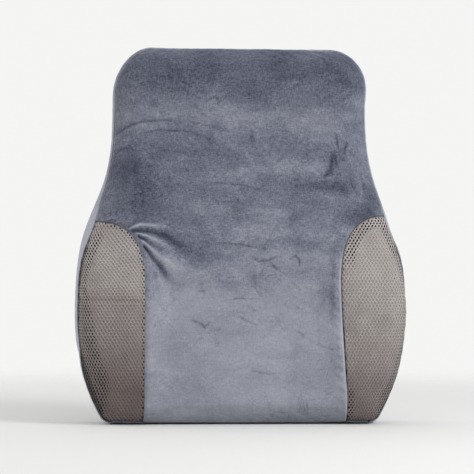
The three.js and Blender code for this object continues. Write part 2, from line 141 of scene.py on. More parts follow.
def front_seam_y(z):
    return FRONT_CROWN - thickness(z)


def flare(z):
    return np.exp(-(((z - FLARE_Z) / FLARE_SPREAD) ** 2))


def front_inset(z):
    return 2 + smooth((z - 170) / 160) + FLARE_INSET * flare(z)


def side_line(foot=10, side=250, top=44):
    """The widest line of the right side from foot to top: x, z and outward normal, one row a point."""
    slope = float(half_width(FOOT_CORNER_Z + 1) - half_width(FOOT_CORNER_Z - 1)) / 2
    lean = math.atan(slope)
    r = FOOT_CORNER_Z / (1 - math.sin(lean))
    cx = float(half_width(FOOT_CORNER_Z)) - r * math.cos(lean)
    a = np.linspace(-math.pi / 2, -lean, foot, endpoint=False)
    rows = [np.stack([cx + r * np.cos(a), r * (1 + np.sin(a)), np.cos(a), np.sin(a)], 1)]
    z = np.linspace(FOOT_CORNER_Z, HEIGHT - TOP_UP, side, endpoint=False)
    run = (half_width(z + 1) - half_width(z - 1)) / 2
    long = np.hypot(1, run)
    rows.append(np.stack([half_width(z), z, 1 / long, -run / long], 1))
    a = np.linspace(0, math.pi / 2, top)
    x = float(half_width(HEIGHT - TOP_UP)) - TOP_ACROSS * (1 - np.cos(a))
    n = unit(np.stack([np.cos(a) / TOP_ACROSS, np.sin(a) / TOP_UP], 1))
    rows.append(np.column_stack([x, HEIGHT - TOP_UP + TOP_UP * np.sin(a), n]))
    return np.concatenate(rows)


SIDE = side_line()
FRONT_EDGE = SIDE[:, :2] - SIDE[:, 2:] * front_inset(SIDE[:, 1])[:, None]
BACK_EDGE = SIDE[:, :2] - SIDE[:, 2:] * BACK_INSET


def rim_x(z, edge=FRONT_EDGE):
    """Half-width of a face's edge line at height z."""
    return np.interp(z, edge[:, 1], edge[:, 0])


def face_round(x, z, edge, rounds):
    side = round_over((rim_x(z, edge) - np.abs(x)) / rounds[0])
    return side * round_over((edge[-1, 1] - z) / rounds[1]) * round_over((z - edge[0, 1]) / rounds[2])


def front_y(x, z):
    rise = (FRONT_CROWN + wing_lift(x, z)) * face_round(x, z, FRONT_EDGE, FRONT_ROUND)
    return front_seam_y(z) - rise


def front_normals(x, z, step=0.3):
    """Unit normals of the front face, pointing out of the cushion."""
    across = (front_y(x + step, z) - front_y(x - step, z)) / (2 * step)
    up = (front_y(x, z + step) - front_y(x, z - step)) / (2 * step)
    return unit(np.stack([across, -np.ones_like(across), up], -1))


def back_y(x, z):
    return BACK_CROWN * (face_round(x, z, BACK_EDGE, (BACK_ROUND,) * 3) - 1)


# ---- Mesh building ---------------------------------------------------------------------------------


def sewn_unevenly(points):
    """Moves points in millimetres: a fuller top right corner, and the left wing rolled out at its foot."""
    x, y, z = points.T
    x += FULL_CORNER * smooth((x - 85) / 60) * smooth((z - 405) / 50)
    near_seam = np.exp(-(((y - front_seam_y(z)) / 16) ** 2))
    foot = smooth((105 - z) / 45)
    roll = LEFT_ROLL * near_seam * smooth((-x - 100) / 55)
    tuck = LEFT_TUCK * (1 - near_seam) * smooth((-x - 158) / 22)
    x += foot * (tuck - roll)


def put(name, points, faces, material, slot, body="cushion", mirror=False):
    """A mesh object from points in millimetres, riding on a CAD body."""
    points = np.asarray(points, float).reshape(-1, 3).copy()
    if mirror:
        points[:, 0] *= -1
        faces = [tuple(reversed(f)) for f in faces]
    sewn_unevenly(points)
    points[:, 1] += BACK_Y
    mesh = bpy.data.meshes.new(name)
    mesh.from_pydata((points / 1000).tolist(), [], [tuple(int(i) for i in f) for f in faces])
    mesh.update()
    mesh.polygons.foreach_set("use_smooth", [True] * len(mesh.polygons))
    obj = bpy.data.objects.new(name, mesh)
    bpy.context.scene.collection.objects.link(obj)
    for m in material if isinstance(material, (list, tuple)) else [material]:
        mesh.materials.append(m)
    if body:
        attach(obj, body)
    return obj


def grid_faces(rows, cols, start=0, wrap=False):
    i, j = np.meshgrid(np.arange(rows - 1), np.arange(cols if wrap else cols - 1), indexing="ij")
    a = i * cols + j
    b = i * cols + (j + 1) % cols
    return np.stack([a, b, b + cols, a + cols], -1).reshape(-1, 4) + start


def grid_normals(p):
    """Unit normals of a grid of points, rows by columns, on the side of row x column."""
    return unit(np.cross(np.gradient(p, axis=1), np.gradient(p, axis=0)))


def corner_normals(points, faces, across):
    """Unit normals at the points, from the faces' own normals in `across`."""
    n = np.zeros_like(points)
    for k in range(faces.shape[1]):
        np.add.at(n, faces[:, k], across)
    return unit(n)


def outward(p):
    """The grid, turned where need be so that its normals point out of the cushion."""
    core = np.zeros_like(p)
    core[..., 1], core[..., 2] = -45, np.clip(p[..., 2], 60, 420)
    return p if ((p - core) * grid_normals(p)).sum() > 0 else p[::-1]


def shell(p, thick=VELVET_THICK, normals=None):
    """A closed sheet of cloth whose outer face is the grid p. Returns points and faces."""
    rows, cols = p.shape[:2]
    under = p - (grid_normals(p) if normals is None else normals) * thick
    count = rows * cols
    outer = grid_faces(rows, cols)
    inner = outer[:, ::-1] + count
    rim = np.concatenate([
        np.arange(cols), np.arange(1, rows) * cols + cols - 1,
        (rows - 1) * cols + np.arange(cols - 2, -1, -1), np.arange(rows - 2, 0, -1) * cols,
    ])
    nxt = np.roll(rim, -1)
    walls = np.stack([nxt, rim, rim + count, nxt + count], 1)
    points = np.concatenate([p.reshape(-1, 3), under.reshape(-1, 3)])
    return points, np.concatenate([outer, inner, walls])


def noise_at(points, size, seed):
    """Smooth noise, about -0.5 to 0.5, at points in millimetres."""
    flat = np.asarray(points, float).reshape(-1, 3) / size
    values = [noise.noise(Vector((x + 17.3 * seed, y, z))) for x, y, z in flat]
    return np.array(values).reshape(np.shape(points)[:-1])


def line_distance(x, z, line):
    """Distance of points from a polyline drawn in x and z, and how far along it, 0 to 1."""
    line = np.asarray(line, float)
    steps = np.hypot(*np.diff(line, axis=0).T)
    best, along, start = np.full(np.shape(x), 1e9), np.zeros(np.shape(x)), 0.0
    for a, b, length in zip(line[:-1], line[1:], steps):
        d = b - a
        t = np.clip(((x - a[0]) * d[0] + (z - a[1]) * d[1]) / max(d @ d, 1e-9), 0, 1)
        gap = np.hypot(x - a[0] - t * d[0], z - a[1] - t * d[1])
        along = np.where(gap < best, start + t * length, along)
        best = np.minimum(best, gap)
        start += length
    return best, along / max(start, 1e-9)


def run_length(line):
    """How far along a polyline in a plane each of its points is."""
    return np.concatenate([[0], np.cumsum(np.hypot(*np.diff(line, axis=0).T))])


def at_run(line, run, at):
    """Points of a polyline at the distances `at` along it."""
    return np.stack([np.interp(at, run, column) for column in line.T], 1)


def float_layer(obj, name, values):
    obj.data.attributes.new(name, "FLOAT", "POINT").data.foreach_set("value", values.astype(np.float32))


def second_material(obj, start):
    """Gives the second material to the faces from number `start` on."""
    index = np.zeros(len(obj.data.polygons), np.int32)
    index[start:] = 1
    obj.data.polygons.foreach_set("material_index", index)


def spaced(n, mix=0.3):
    """n + 1 stations from -1 to 1, closer together near the ends."""
    t = np.linspace(-1, 1, n + 1)
    return mix * t + (1 - mix) * np.sin(t * math.pi / 2)


# ---- Materials -------------------------------------------------------------------------------------


def add_node(tree, kind, ins=(), **props):
    """A node in a tree: its properties set, and each input linked or given its value."""
    n = tree.nodes.new(kind)
    for k, v in props.items():
        setattr(n, k, v)
    for key, value in dict(ins).items():
        if isinstance(value, bpy.types.NodeSocket):
            tree.links.new(value, n.inputs[key])
        else:
            n.inputs[key].default_value = value
    return n


def rgba(colour):
    """A colour with its alpha. One number stands for a grey, and a socket is left as it is."""
    if isinstance(colour, bpy.types.NodeSocket):
        return colour
    return (*((colour,) * 3 if isinstance(colour, float) else colour), 1)


class Nodes:
    """A node material under construction."""

    def __init__(self, name, base, rough, **sockets):
        self.material = bpy.data.materials.new(name)
        self.material.use_nodes = True
        self.tree = self.material.node_tree
        self.tree.nodes.clear()
        self.out = self.node("ShaderNodeOutputMaterial")
        self.shader = self.node("ShaderNodeBsdfPrincipled", {"Base Color": rgba(base), "Roughness": rough})
        self.link(self.shader.outputs[0], self.out.inputs[0])
        for key, value in sockets.items():
            self.shader.inputs[key.replace("_", " ")].default_value = value
        self.coord = self.node("ShaderNodeTexCoord").outputs["Object"]

    def link(self, a, b):
        self.tree.links.new(a, b)

    def node(self, kind, ins=(), **props):
        return add_node(self.tree, kind, ins, **props)

    def noise(self, scale, detail=2.0, rough=0.5, vector=None, distortion=0.0):
        ins = {"Vector": vector or self.coord, "Scale": scale, "Detail": detail, "Roughness": rough,
               "Distortion": distortion}
        return self.node("ShaderNodeTexNoise", ins).outputs["Fac"]

    def wave(self, scale, axis="X", distortion=0.0, detail=1.0, vector=None):
        ins = {"Vector": vector or self.coord, "Scale": scale, "Distortion": distortion, "Detail": detail}
        return self.node("ShaderNodeTexWave", ins, bands_direction=axis).outputs["Fac"]

    def stretch(self, scale, rotation=(0, 0, 0)):
        ins = {"Vector": self.coord, "Scale": scale, "Rotation": rotation}
        return self.node("ShaderNodeMapping", ins).outputs[0]

    def ramp(self, fac, *stops):
        n = self.node("ShaderNodeValToRGB", {"Fac": fac})
        while len(n.color_ramp.elements) < len(stops):
            n.color_ramp.elements.new(0.5)
        for e, (pos, colour) in zip(n.color_ramp.elements, stops):
            e.position = pos
            e.color = rgba(colour)
        return n.outputs["Color"]

    def mix(self, fac, a, b, blend="MIX"):
        ins = {0: fac, 6: rgba(a), 7: rgba(b)}
        return self.node("ShaderNodeMix", ins, data_type="RGBA", blend_type=blend).outputs[2]

    def math(self, op, a, b=0.0, c=0.0):
        return self.node("ShaderNodeMath", {0: a, 1: b, 2: c}, operation=op).outputs[0]

    def attribute(self, name):
        return self.node("ShaderNodeAttribute", attribute_name=name).outputs["Fac"]

    def colour(self, socket):
        self.link(socket, self.shader.inputs["Base Color"])

    def roughness(self, socket):
        self.link(socket, self.shader.inputs["Roughness"])

    def bump(self, height, strength, distance, normal=None):
        ins = {"Height": height, "Strength": strength, "Distance": distance}
        if normal is not None:
            ins["Normal"] = normal
        out = self.node("ShaderNodeBump", ins).outputs[0]
        self.link(out, self.shader.inputs["Normal"])
        return out


PILE_DARK, PILE_MID, PILE_LIGHT = (0.055, 0.061, 0.090), (0.152, 0.160, 0.205), (0.34, 0.348, 0.402)
PAINTED_SEAM_HIGHLIGHT = (0.56, 0.56, 0.61)  # a painted highlight beside the right seam
NET_DARK, NET_LIGHT, KNIT_DARK, KNIT_LIGHT = (
    (0.385, 0.350, 0.335), (0.49, 0.446, 0.427), (0.32, 0.286, 0.276), (0.45, 0.408, 0.392))
NET_PAINTED_SHADE = (0.40, 0.345, 0.345)  # what the mesh's colour is multiplied by where its painted shade is darkest
STRAP_SLANT = math.radians(32)


def velvet_material():
    """Short brushed pile. A point attribute gives its lightness: the pile's brushed tone with painted shade
    and painted highlights.
    """
    m = Nodes("velvet", (0.2, 0.21, 0.26), 0.9, Sheen_Weight=0.4, Sheen_Roughness=0.4,
              Specular_IOR_Level=0.12)
    m.shader.inputs["Sheen Tint"].default_value = (0.84, 0.86, 0.96, 1)
    brushed = m.noise(30, 8, 0.66, m.stretch((0.75, 1, 1.15), (0, 0.35, 0)), 0.9)
    stroked = m.noise(85, 5, 0.7, m.stretch((0.5, 1, 1.4), (0, -0.25, 0)), 1.6)
    across = m.noise(800, 2, 0.6, m.stretch((1, 1, 0.3)))
    down = m.noise(800, 2, 0.6, m.stretch((0.3, 1, 1)))
    lie_and_light = m.attribute("nap_and_shade")
    # Brush marks, less of them where the pile lies light, then a few fine creases painted darker: crushed
    # pile and painted crease shade.
    wide = m.math("MULTIPLY_ADD", brushed, 0.85, -0.425)
    narrow = m.math("MULTIPLY_ADD", stroked, 0.38, -0.19)
    ruffled = m.ramp(lie_and_light, (0.4, 0.86), (0.6, 1.0), (0.9, 0.55))
    nap_and_shade = m.math("MULTIPLY_ADD", m.math("ADD", wide, narrow), ruffled, lie_and_light)
    creases = m.math("ABSOLUTE", m.math("ADD", m.noise(26, 4, 0.55, None, 1.5), -0.5))
    creases = m.ramp(creases, (0.0, 1.0), (0.022, 0.0))
    crease_mask = m.ramp(m.noise(17, 2), (0.5, 0.0), (0.62, 0.2))
    nap_and_shade = m.math("SUBTRACT", nap_and_shade, m.math("MULTIPLY", creases, crease_mask))
    tone = m.ramp(nap_and_shade, (0.0, PILE_DARK), (0.5, PILE_MID), (1.0, PILE_LIGHT))
    # The grain of single tufts, finer where the pile lies light.
    grain = m.math("MULTIPLY", m.math("ADD", across, down), 0.5)
    coarse = m.ramp(lie_and_light, (0.35, 0.95), (0.6, 0.6), (0.9, 0.25))
    tufts = m.ramp(grain, (0.38, (0.27, 0.27, 0.28)), (0.62, 0.73))
    tone = m.mix(coarse, tone, tufts, "OVERLAY")
    # A painted highlight along the right seam.
    m.colour(m.mix(m.attribute("lit"), tone, PAINTED_SEAM_HIGHLIGHT))
    m.roughness(m.ramp(brushed, (0.3, 0.95), (0.7, 0.82)))
    n = m.bump(stroked, 0.15, 0.0008)
    m.bump(grain, 0.45, 0.0003, n)
    return m.material


def shaded(m, tone, seam):
    """The mesh's colour: darker by its painted shade attribute, and painted nearly black as shade along its
    sewn edge.
    """
    tone = m.mix(m.attribute("shade"), m.mix(1.0, tone, NET_PAINTED_SHADE, "MULTIPLY"), tone)
    m.colour(m.mix(m.attribute("seam"), tone, seam))


def mesh_material():
    m = Nodes("mesh_strands", (0.3, 0.27, 0.25), 0.75, Sheen_Weight=0.15, Specular_IOR_Level=0.3)
    knit = m.wave(900.0, distortion=6.0, detail=2.0)
    tone = m.ramp(m.noise(40, 3), (0.3, NET_DARK), (0.7, NET_LIGHT))
    shaded(m, m.mix(0.35, tone, m.ramp(knit, (0.2, 0.3), (0.8, 0.66)), "OVERLAY"), (0.022, 0.020, 0.022))
    m.bump(knit, 0.4, 0.0003)
    return m.material


def backing_material():
    m = Nodes("mesh_backing", (0.16, 0.145, 0.135), 0.85, Specular_IOR_Level=0.2)
    knit = m.noise(900, 3, 0.7)
    shaded(m, m.ramp(knit, (0.3, KNIT_DARK), (0.7, KNIT_LIGHT)), (0.010, 0.010, 0.013))
    m.bump(knit, 0.5, 0.0004)
    return m.material


def plain_cloth(name, dark, light, rough, scale, bump=0.5, sheen=0.2):
    """Plain woven or knitted cloth: two crossed sets of threads over a soft change of shade."""
    m = Nodes(name, light, rough, Sheen_Weight=sheen, Specular_IOR_Level=0.2)
    threads = m.math("MULTIPLY", m.wave(scale, "X", 0.6), m.wave(scale, "Z", 0.6))
    shade = m.mix(m.noise(60, 3), dark, light)
    m.colour(m.mix(0.5, shade, m.ramp(threads, (0.0, 0.3), (0.6, 0.65)), "OVERLAY"))
    m.roughness(m.ramp(threads, (0.0, rough + 0.08), (1.0, rough - 0.08)))
    m.bump(threads, bump, 0.0003)
    return m.material


def webbing_material():
    """Heavy woven web: slanted picks in rows along the strap."""
    m = Nodes("webbing", (0.02, 0.02, 0.023), 0.75, Sheen_Weight=0.25, Specular_IOR_Level=0.35)
    picks = m.wave(190.0, "X", 0.8, vector=m.stretch((1, 1, 1), (0, STRAP_SLANT, 0)))
    rows = m.wave(200.0, "Z", 0.3)
    threads = m.math("ADD", m.math("MULTIPLY", picks, 0.6), m.math("MULTIPLY", rows, 0.4))
    tone = m.ramp(threads, (0.2, (0.008, 0.008, 0.009)), (0.8, (0.045, 0.045, 0.05)))
    m.colour(m.mix(0.4, tone, m.ramp(m.noise(70, 4), (0.3, 0.35), (0.7, 0.62)), "OVERLAY"))
    m.roughness(m.ramp(threads, (0.0, 0.9), (1.0, 0.6)))
    m.bump(threads, 0.7, 0.0004)
    return m.material


def foam_material():
    m = Nodes("foam", (0.8, 0.74, 0.6), 0.95, Specular_IOR_Level=0.15)
    cells = m.node("ShaderNodeTexVoronoi", {"Vector": m.coord, "Scale": 900.0}).outputs["Distance"]
    tone = m.ramp(cells, (0.0, (0.52, 0.46, 0.34)), (0.6, (0.80, 0.74, 0.60)))
    m.colour(m.mix(m.noise(25, 4), tone, (0.84, 0.78, 0.62)))
    m.bump(cells, 0.6, 0.0006)
    return m.material


def patchy(m, colour_fac, colours, rough_fac, roughs):
    """Colour and roughness that each change over a noise: (position, value) at both ends."""
    m.colour(m.ramp(colour_fac, *colours))
    m.roughness(m.ramp(rough_fac, *roughs))


def plastic_material():
    """Moulded acetal with a fine spark-eroded texture, rubbed smoother in patches."""
    m = Nodes("moulded_acetal", (0.012, 0.012, 0.013), 0.42, Specular_IOR_Level=0.5)
    fine, wide = m.noise(2600, 2, 0.6), m.noise(120, 4, 0.6)
    patchy(m, wide, ((0.3, (0.010, 0.010, 0.011)), (0.75, (0.026, 0.026, 0.028))),
           wide, ((0.3, 0.5), (0.7, 0.34)))
    m.bump(fine, 0.35, 0.0001)
    return m.material


def metal_material():
    """Plated zinc casting, worn a little brighter in patches."""
    m = Nodes("plated_zinc", (0.3, 0.3, 0.32), 0.35, Metallic=1.0)
    wear, fine = m.noise(420, 4, 0.65), m.noise(3000, 2)
    patchy(m, wear, ((0.35, (0.17, 0.175, 0.19)), (0.7, (0.36, 0.365, 0.38))),
           wear, ((0.3, 0.42), (0.75, 0.26)))
    m.bump(fine, 0.2, 0.00005)
    return m.material


def coil_material():
    m = Nodes("nylon_coil", (0.1, 0.105, 0.13), 0.4, Specular_IOR_Level=0.5)
    patchy(m, m.noise(300, 3), ((0.3, (0.075, 0.08, 0.10)), (0.7, (0.13, 0.135, 0.16))),
           m.noise(800, 2), ((0.3, 0.5), (0.7, 0.34)))
    return m.material


def thread_material():
    m = Nodes("thread", (0.03, 0.03, 0.034), 0.6, Sheen_Weight=0.2)
    twist = m.wave(1500.0, "DIAGONAL", detail=2.0)
    m.colour(m.ramp(twist, (0.2, (0.03, 0.03, 0.033)), (0.8, (0.09, 0.09, 0.10))))
    m.bump(twist, 0.5, 0.0001)
    return m.material


VELVET = velvet_material()
MESH = mesh_material()
BACKING = backing_material()
LINER = plain_cloth("liner_cloth", (0.52, 0.50, 0.46), (0.66, 0.64, 0.60), 0.85, 420)
ALLOWANCE = plain_cloth("seam_allowance", (0.016, 0.016, 0.022), (0.03, 0.03, 0.04), 0.9, 500)
TAPE = plain_cloth("zip_tape", (0.075, 0.08, 0.105), (0.125, 0.13, 0.16), 0.8, 560, 0.6)
LABEL = plain_cloth("satin_ribbon", (0.70, 0.70, 0.68), (0.80, 0.80, 0.78), 0.5, 1300, 0.3, 0.3)
WEBBING = webbing_material()
FOAM = foam_material()
PLASTIC = plastic_material()
METAL = metal_material()
COIL = coil_material()
THREAD = thread_material()

# ---- Front ------------------------------------------------------------------------------------------


def wing_arc(steps):
    """The curved part of a mesh wing's inner edge, up and over to the front seam, x and z."""
    a = np.linspace(0, math.pi / 2, steps)
    x = WING_INNER + WING_ARC_X - WING_ARC_X * np.cos(a) ** (2 / WING_POWER)
    z = WING_ARC_Z + WING_ARC_UP * np.sin(a) ** (2 / WING_POWER)
    return x, z


def wing_seam(count, low, high, steps):
    """A wing's whole inner edge: count points up the straight from low to high, then the arc."""
    straight = np.stack([np.full(count, WING_INNER), np.linspace(low, high, count)], 1)
    return np.concatenate([straight, np.stack(wing_arc(steps), 1)])


def velvet_boundary(rows=400):
    """Half-widths and heights of the velvet panel's rows, foot to top, closer where the edge turns."""
    seam = wing_seam(60, FRONT_FOOT, WING_ARC_Z - 0.5, 400)
    x, z = np.concatenate([seam, FRONT_EDGE[FRONT_EDGE[:, 1] > seam[-1, 1] + 0.3]]).T
    x = np.minimum(x, rim_x(z))
    fine = np.linspace(0, len(x) - 1, 6000)
    x, z = np.interp(fine, np.arange(len(x)), x), np.interp(fine, np.arange(len(z)), z)
    ends = np.exp(-(((z - z[0]) / 7) ** 2)) + np.exp(-(((z[-1] - z) / 7) ** 2))
    effort = np.abs(np.gradient(z)) * (1 + 2.5 * ends) + 0.15 * np.abs(np.gradient(x))
    effort = np.concatenate([[0], np.cumsum(effort[1:])])
    at = np.linspace(0, effort[-1], rows)
    return np.interp(at, effort, x), np.interp(at, effort, z)


def settled(x, z):
    """x and z of points where the cover is sewn unevenly: left wing lower, right seam leaning out."""
    drop = LEFT_DROP * smooth((-x - 96) / 80) * smooth((z - 140) / 110) * (1 - smooth((z - 262) / 100))
    lower = z - drop
    rim = rim_x(z)
    near_seam = smooth((x - 40) / (WING_INNER - 40)) * (1 - smooth((x - WING_INNER) / (rim - WING_INNER)))
    lean = RIGHT_LEAN * near_seam * (1 - smooth(z / 210)) ** 1.3
    return x * rim_x(lower) / rim + lean, lower


def seam_dip(d, depth=1.7, reach=2.6):
    return depth * np.exp(-((d / reach) ** 2))


def wing_seam_distance(x, z):
    """Distance of points from the wing's inner edge, as drawn on the face."""
    return line_distance(np.abs(x), z, wing_seam(60, -5, WING_ARC_Z, 160))[0]


# Folds and creases pressed into the velvet: points (x, z) along each, its height (minus for a valley),
# its half-width, and its painted light: plus for a painted highlight on a ridge, minus for painted shade in a
# valley.
# These fan out from the top of the left wing, sharp at its seam, and widen as they fade.
FAN = [
    ([(-146, 249), (-134, 256), (-120, 259)], -1.0, 1.4, -0.40),
    ([(-143, 246), (-131, 251.5), (-116, 251), (-92, 248)], 2.2, 2.0, 0.60),
    ([(-141, 244.5), (-118, 243.5), (-98, 237), (-78, 223)], -2.8, 3.4, -0.75),
    ([(-104, 240), (-71, 218), (-44, 203), (-14, 190)], -1.6, 9.0, -0.36),
    ([(-136, 240.5), (-124, 238), (-108, 230.5), (-88, 222)], 1.9, 1.8, 0.46),
    ([(-133, 237), (-124, 232), (-115, 226), (-100, 218)], -2.2, 2.2, -0.75),
    ([(-129, 231), (-117, 220.5), (-104, 209), (-84, 196)], 1.9, 2.5, 0.42),
    ([(-126, 225), (-117, 212), (-106, 199), (-92, 178)], -2.8, 2.6, -0.75),
    ([(-107, 201), (-97, 186), (-86, 166)], -1.2, 6.0, -0.28),
    ([(-113, 192), (-108, 152)], -0.7, 3.5, -0.18),
    ([(-100, 207), (-48, 178)], 1.4, 8.0, 0.16),
]
FOLDS = [
    # Gathers over the left wing.
    ([(-175, 259), (-175.5, 268)], -1.0, 1.6, -0.20),
    ([(-168, 262), (-168, 270)], -1.1, 1.6, -0.20),
    ([(-161, 261), (-160, 269)], -1.0, 1.6, -0.20),
    # Arcs across the upper left.
    ([(-162, 367), (-146, 376.5), (-130, 382.5), (-115, 384), (-98, 385), (-76, 384)], -1.0, 1.5, -0.32),
    ([(-152, 371), (-128, 377), (-96, 378.5)], 0.7, 4.0, 0.10),
    ([(-66, 383), (-37, 378), (-11, 370)], -0.7, 1.6, -0.15),
    ([(-126, 368), (-105, 372.5), (-87, 371.5), (-75, 372.5), (-57, 367.5), (-39, 359)], -0.9, 1.4, -0.28),
    ([(-163, 342), (-155, 348), (-141, 351.5)], -1.0, 1.7, -0.26),
    ([(-47, 408.5), (-34, 416), (-29, 412), (-30, 404)], -0.8, 1.5, -0.22),
    ([(-63, 405.5), (-51, 397)], -0.5, 1.5, -0.12),
    ([(-92, 412), (-64, 412.5)], -0.4, 1.3, -0.10),
    ([(-88, 344), (-70, 344)], -0.4, 1.3, -0.13),
    ([(-75, 325), (-67, 318.5)], -0.6, 1.8, -0.15),
    # The crushed patch on the right of the neck.
    ([(120.5, 371), (122.5, 358), (124, 350)], -1.0, 1.5, -0.34),
    ([(136.5, 360), (132.5, 350), (131, 343)], -1.3, 1.9, -0.42),
    ([(141.5, 353), (140, 345), (147, 342.5)], -0.8, 1.6, -0.24),
    ([(119, 348), (115, 333), (112.5, 320), (102, 313)], -1.4, 3.2, -0.34),
    ([(124, 350), (125, 341), (129.5, 334)], -0.7, 1.3, -0.22),
    ([(120, 340), (121, 325)], -0.8, 1.7, -0.24),
    ([(105, 357), (115, 351)], -0.6, 1.4, -0.18),
    ([(78, 342), (91, 348), (101, 350), (111, 344)], -0.7, 1.6, -0.17),
    ([(139, 318), (139, 305), (144, 295), (151, 288)], -0.6, 1.3, -0.16),
    ([(152.5, 318), (156.5, 305), (156.5, 294)], -0.7, 1.6, -0.18),
    ([(84, 309), (108, 311), (128, 314)], 0.7, 2.2, 0.12),
    # Small creases down the middle.
    ([(-43, 304), (-25, 305), (-2, 302.5), (26, 296)], -0.8, 1.4, -0.26),
    ([(-26, 281.5), (-6, 281.5)], -0.3, 1.3, -0.09),
    ([(-35, 229), (-8, 227.5), (10, 225), (36, 221)], -0.8, 1.4, -0.26),
    ([(10.5, 212), (19, 206.5), (31, 207.5), (39, 211.5), (47, 213)], -1.0, 1.4, -0.30),
    ([(32, 206), (38, 200), (45, 196)], -0.8, 1.4, -0.26),
    ([(57, 208.5), (65, 213), (70, 209), (71, 199)], -1.0, 1.4, -0.32),
    ([(-14.5, 159), (-2, 159.5), (16, 160)], -0.8, 1.3, -0.28),
    ([(12, 176), (17.5, 168), (23, 162)], -0.5, 1.2, -0.18),
    ([(-58, 170.5), (-48, 167.5)], -0.6, 1.5, -0.20),
    ([(8, 148.5), (15, 143.5)], -0.5, 1.5, -0.20),
    ([(-7, 137), (4, 131.5), (17, 126)], -0.6, 1.5, -0.20),
    ([(-66, 133), (-53, 127), (-48, 121)], -0.8, 2.0, -0.26),
    ([(-51.5, 122), (-43, 130.5)], -0.5, 1.3, -0.20),
    ([(64, 150), (75, 144.5)], -0.5, 1.5, -0.18),
    ([(67, 119.5), (77, 112)], -0.6, 1.9, -0.18),
    ([(44, 116), (53, 123)], -0.5, 1.9, -0.15),
    ([(93, 103.5), (101, 99), (110, 96.5), (120, 95)], -0.6, 1.6, -0.18),
    ([(9, 69.5), (25, 65.5), (39, 64)], -0.6, 1.5, -0.20),
    ([(-37, 98), (-31, 106)], -0.4, 1.9, -0.14),
    ([(113, 212), (111.5, 126)], -0.5, 3.4, -0.14),
]
# How light the pile is painted down the middle of the front, heights and lightness: partly its brushed tone,
# partly painted shade, darker towards the top.
NAP_SHADE_Z = [0, 25, 60, 120, 170, 230, 290, 340, 372, 392, 415, 440, 470, 480]
NAP_SHADE_TONE = [0.80, 0.88, 0.84, 0.84, 0.76, 0.60, 0.48, 0.475, 0.50, 0.56, 0.46, 0.26, 0.20, 0.16]
# Patches of brushed pile and painted shade: x, z, reach across and up, and how much lighter or darker.
NAP_SHADE_PATCHES = [
    (-136, 322, 30, 24, -0.32), (-128, 276, 38, 22, -0.30), (-105, 272, 6, 4, -0.15),
    (-112, 407, 5, 6, -0.20), (-90, 300, 30, 16, -0.12), (-30, 345, 5, 12, -0.14),
    (12.5, 363, 4, 5, -0.26), (107, 303, 32, 8, -0.30), (129, 299, 4, 6, -0.22),
    (166, 285, 12, 24, -0.34), (147, 264, 26, 13, -0.30), (67, 263, 5, 9, -0.18), (98, 327, 14, 9, 0.12),
    (118, 334, 12, 16, -0.16), (105, 385, 46, 22, 0.14), (-20, 392, 70, 16, 0.08),
    (-58, 224, 40, 11, -0.12), (40, 262, 50, 20, 0.08), (0, 181, 42, 9, -0.14), (-98, 150, 18, 56, 0.10),
    (10, 120, 90, 60, 0.05), (60, 330, 36, 16, 0.10), (-145, 440, 22, 30, 0.16), (-95, 395, 60, 14, 0.14),
    (106, 167, 9, 15, -0.09), (118, 225, 7, 30, -0.12), (-40, 275, 40, 10, 0.10),
    (60, 230, 40, 10, -0.10), (10, 420, 30, 10, -0.12), (80, 430, 26, 10, 0.10), (-60, 345, 26, 8, -0.10),
    (30, 310, 26, 8, -0.08),
]


def pressed_folds(x, z):
    """Height of the pressed folds, and their painted highlights and painted shade, at points of the front
    face.
    """
    height, tone = np.zeros(np.shape(x)), np.zeros(np.shape(x))
    for folds, fanned in ((FAN, True), (FOLDS, False)):
        for line, rise, width, shade in folds:
            gap, along = line_distance(x, z, line)
            if fanned:
                taper, width = (1 - along) ** 0.8, width * (0.6 + 1.1 * along)
            else:
                taper = 0.75 * np.sqrt(np.clip(4 * along * (1 - along), 0, 1))
                taper += 0.25 * (along > 0) * (along < 1)
            ridge = taper * np.exp(-((gap / width) ** 2))
            height += rise * ridge
            tone += shade * ridge
    return height, tone


def nap_and_shade_of(points, lie_and_light=0.0):
    """Lightness of the pile at points in millimetres, 0 to 1: its brushed tone together with painted shade.
    """
    x, z = points[..., 0], points[..., 2]
    tone = np.interp(z, NAP_SHADE_Z, NAP_SHADE_TONE) + lie_and_light
    for cx, cz, rx, rz, amount in NAP_SHADE_PATCHES:
        tone = tone + amount * np.exp(-(((x - cx) / rx) ** 2) - ((z - cz) / rz) ** 2)
    return tone + 0.12 * noise_at(points * np.array([0.55, 0.2, 1.0]), 34, 3)


def pucker(distance, along, pitch=13.0, height=0.45, reach=7.0):
    """The small gathers that sewing leaves beside a seam."""
    wave = np.sin(2 * math.pi * along / pitch + 1.7 * np.sin(along / 31.0))
    return height * wave * np.exp(-((distance - 3.0) / reach) ** 2)


# The slack velvet's cloth run, in decimetres: stiffness, a little surplus cloth and the foam's push.
CLOTH_SCALE, CLOTH_FRAMES, CLOTH_GRAVITY = 100, 26, 0.6
CLOTH_CAP = 2.6  # the most that run may lift the panel, in millimetres
CLOTH = {"quality": 5, "mass": 0.3, "tension_stiffness": 20, "compression_stiffness": 20,
         "shear_stiffness": 5, "bending_stiffness": 0.6, "vertex_group_mass": "seams",
         "pin_stiffness": 1.0, "shrink_min": -0.018, "use_pressure": True, "uniform_pressure_force": 2.0}


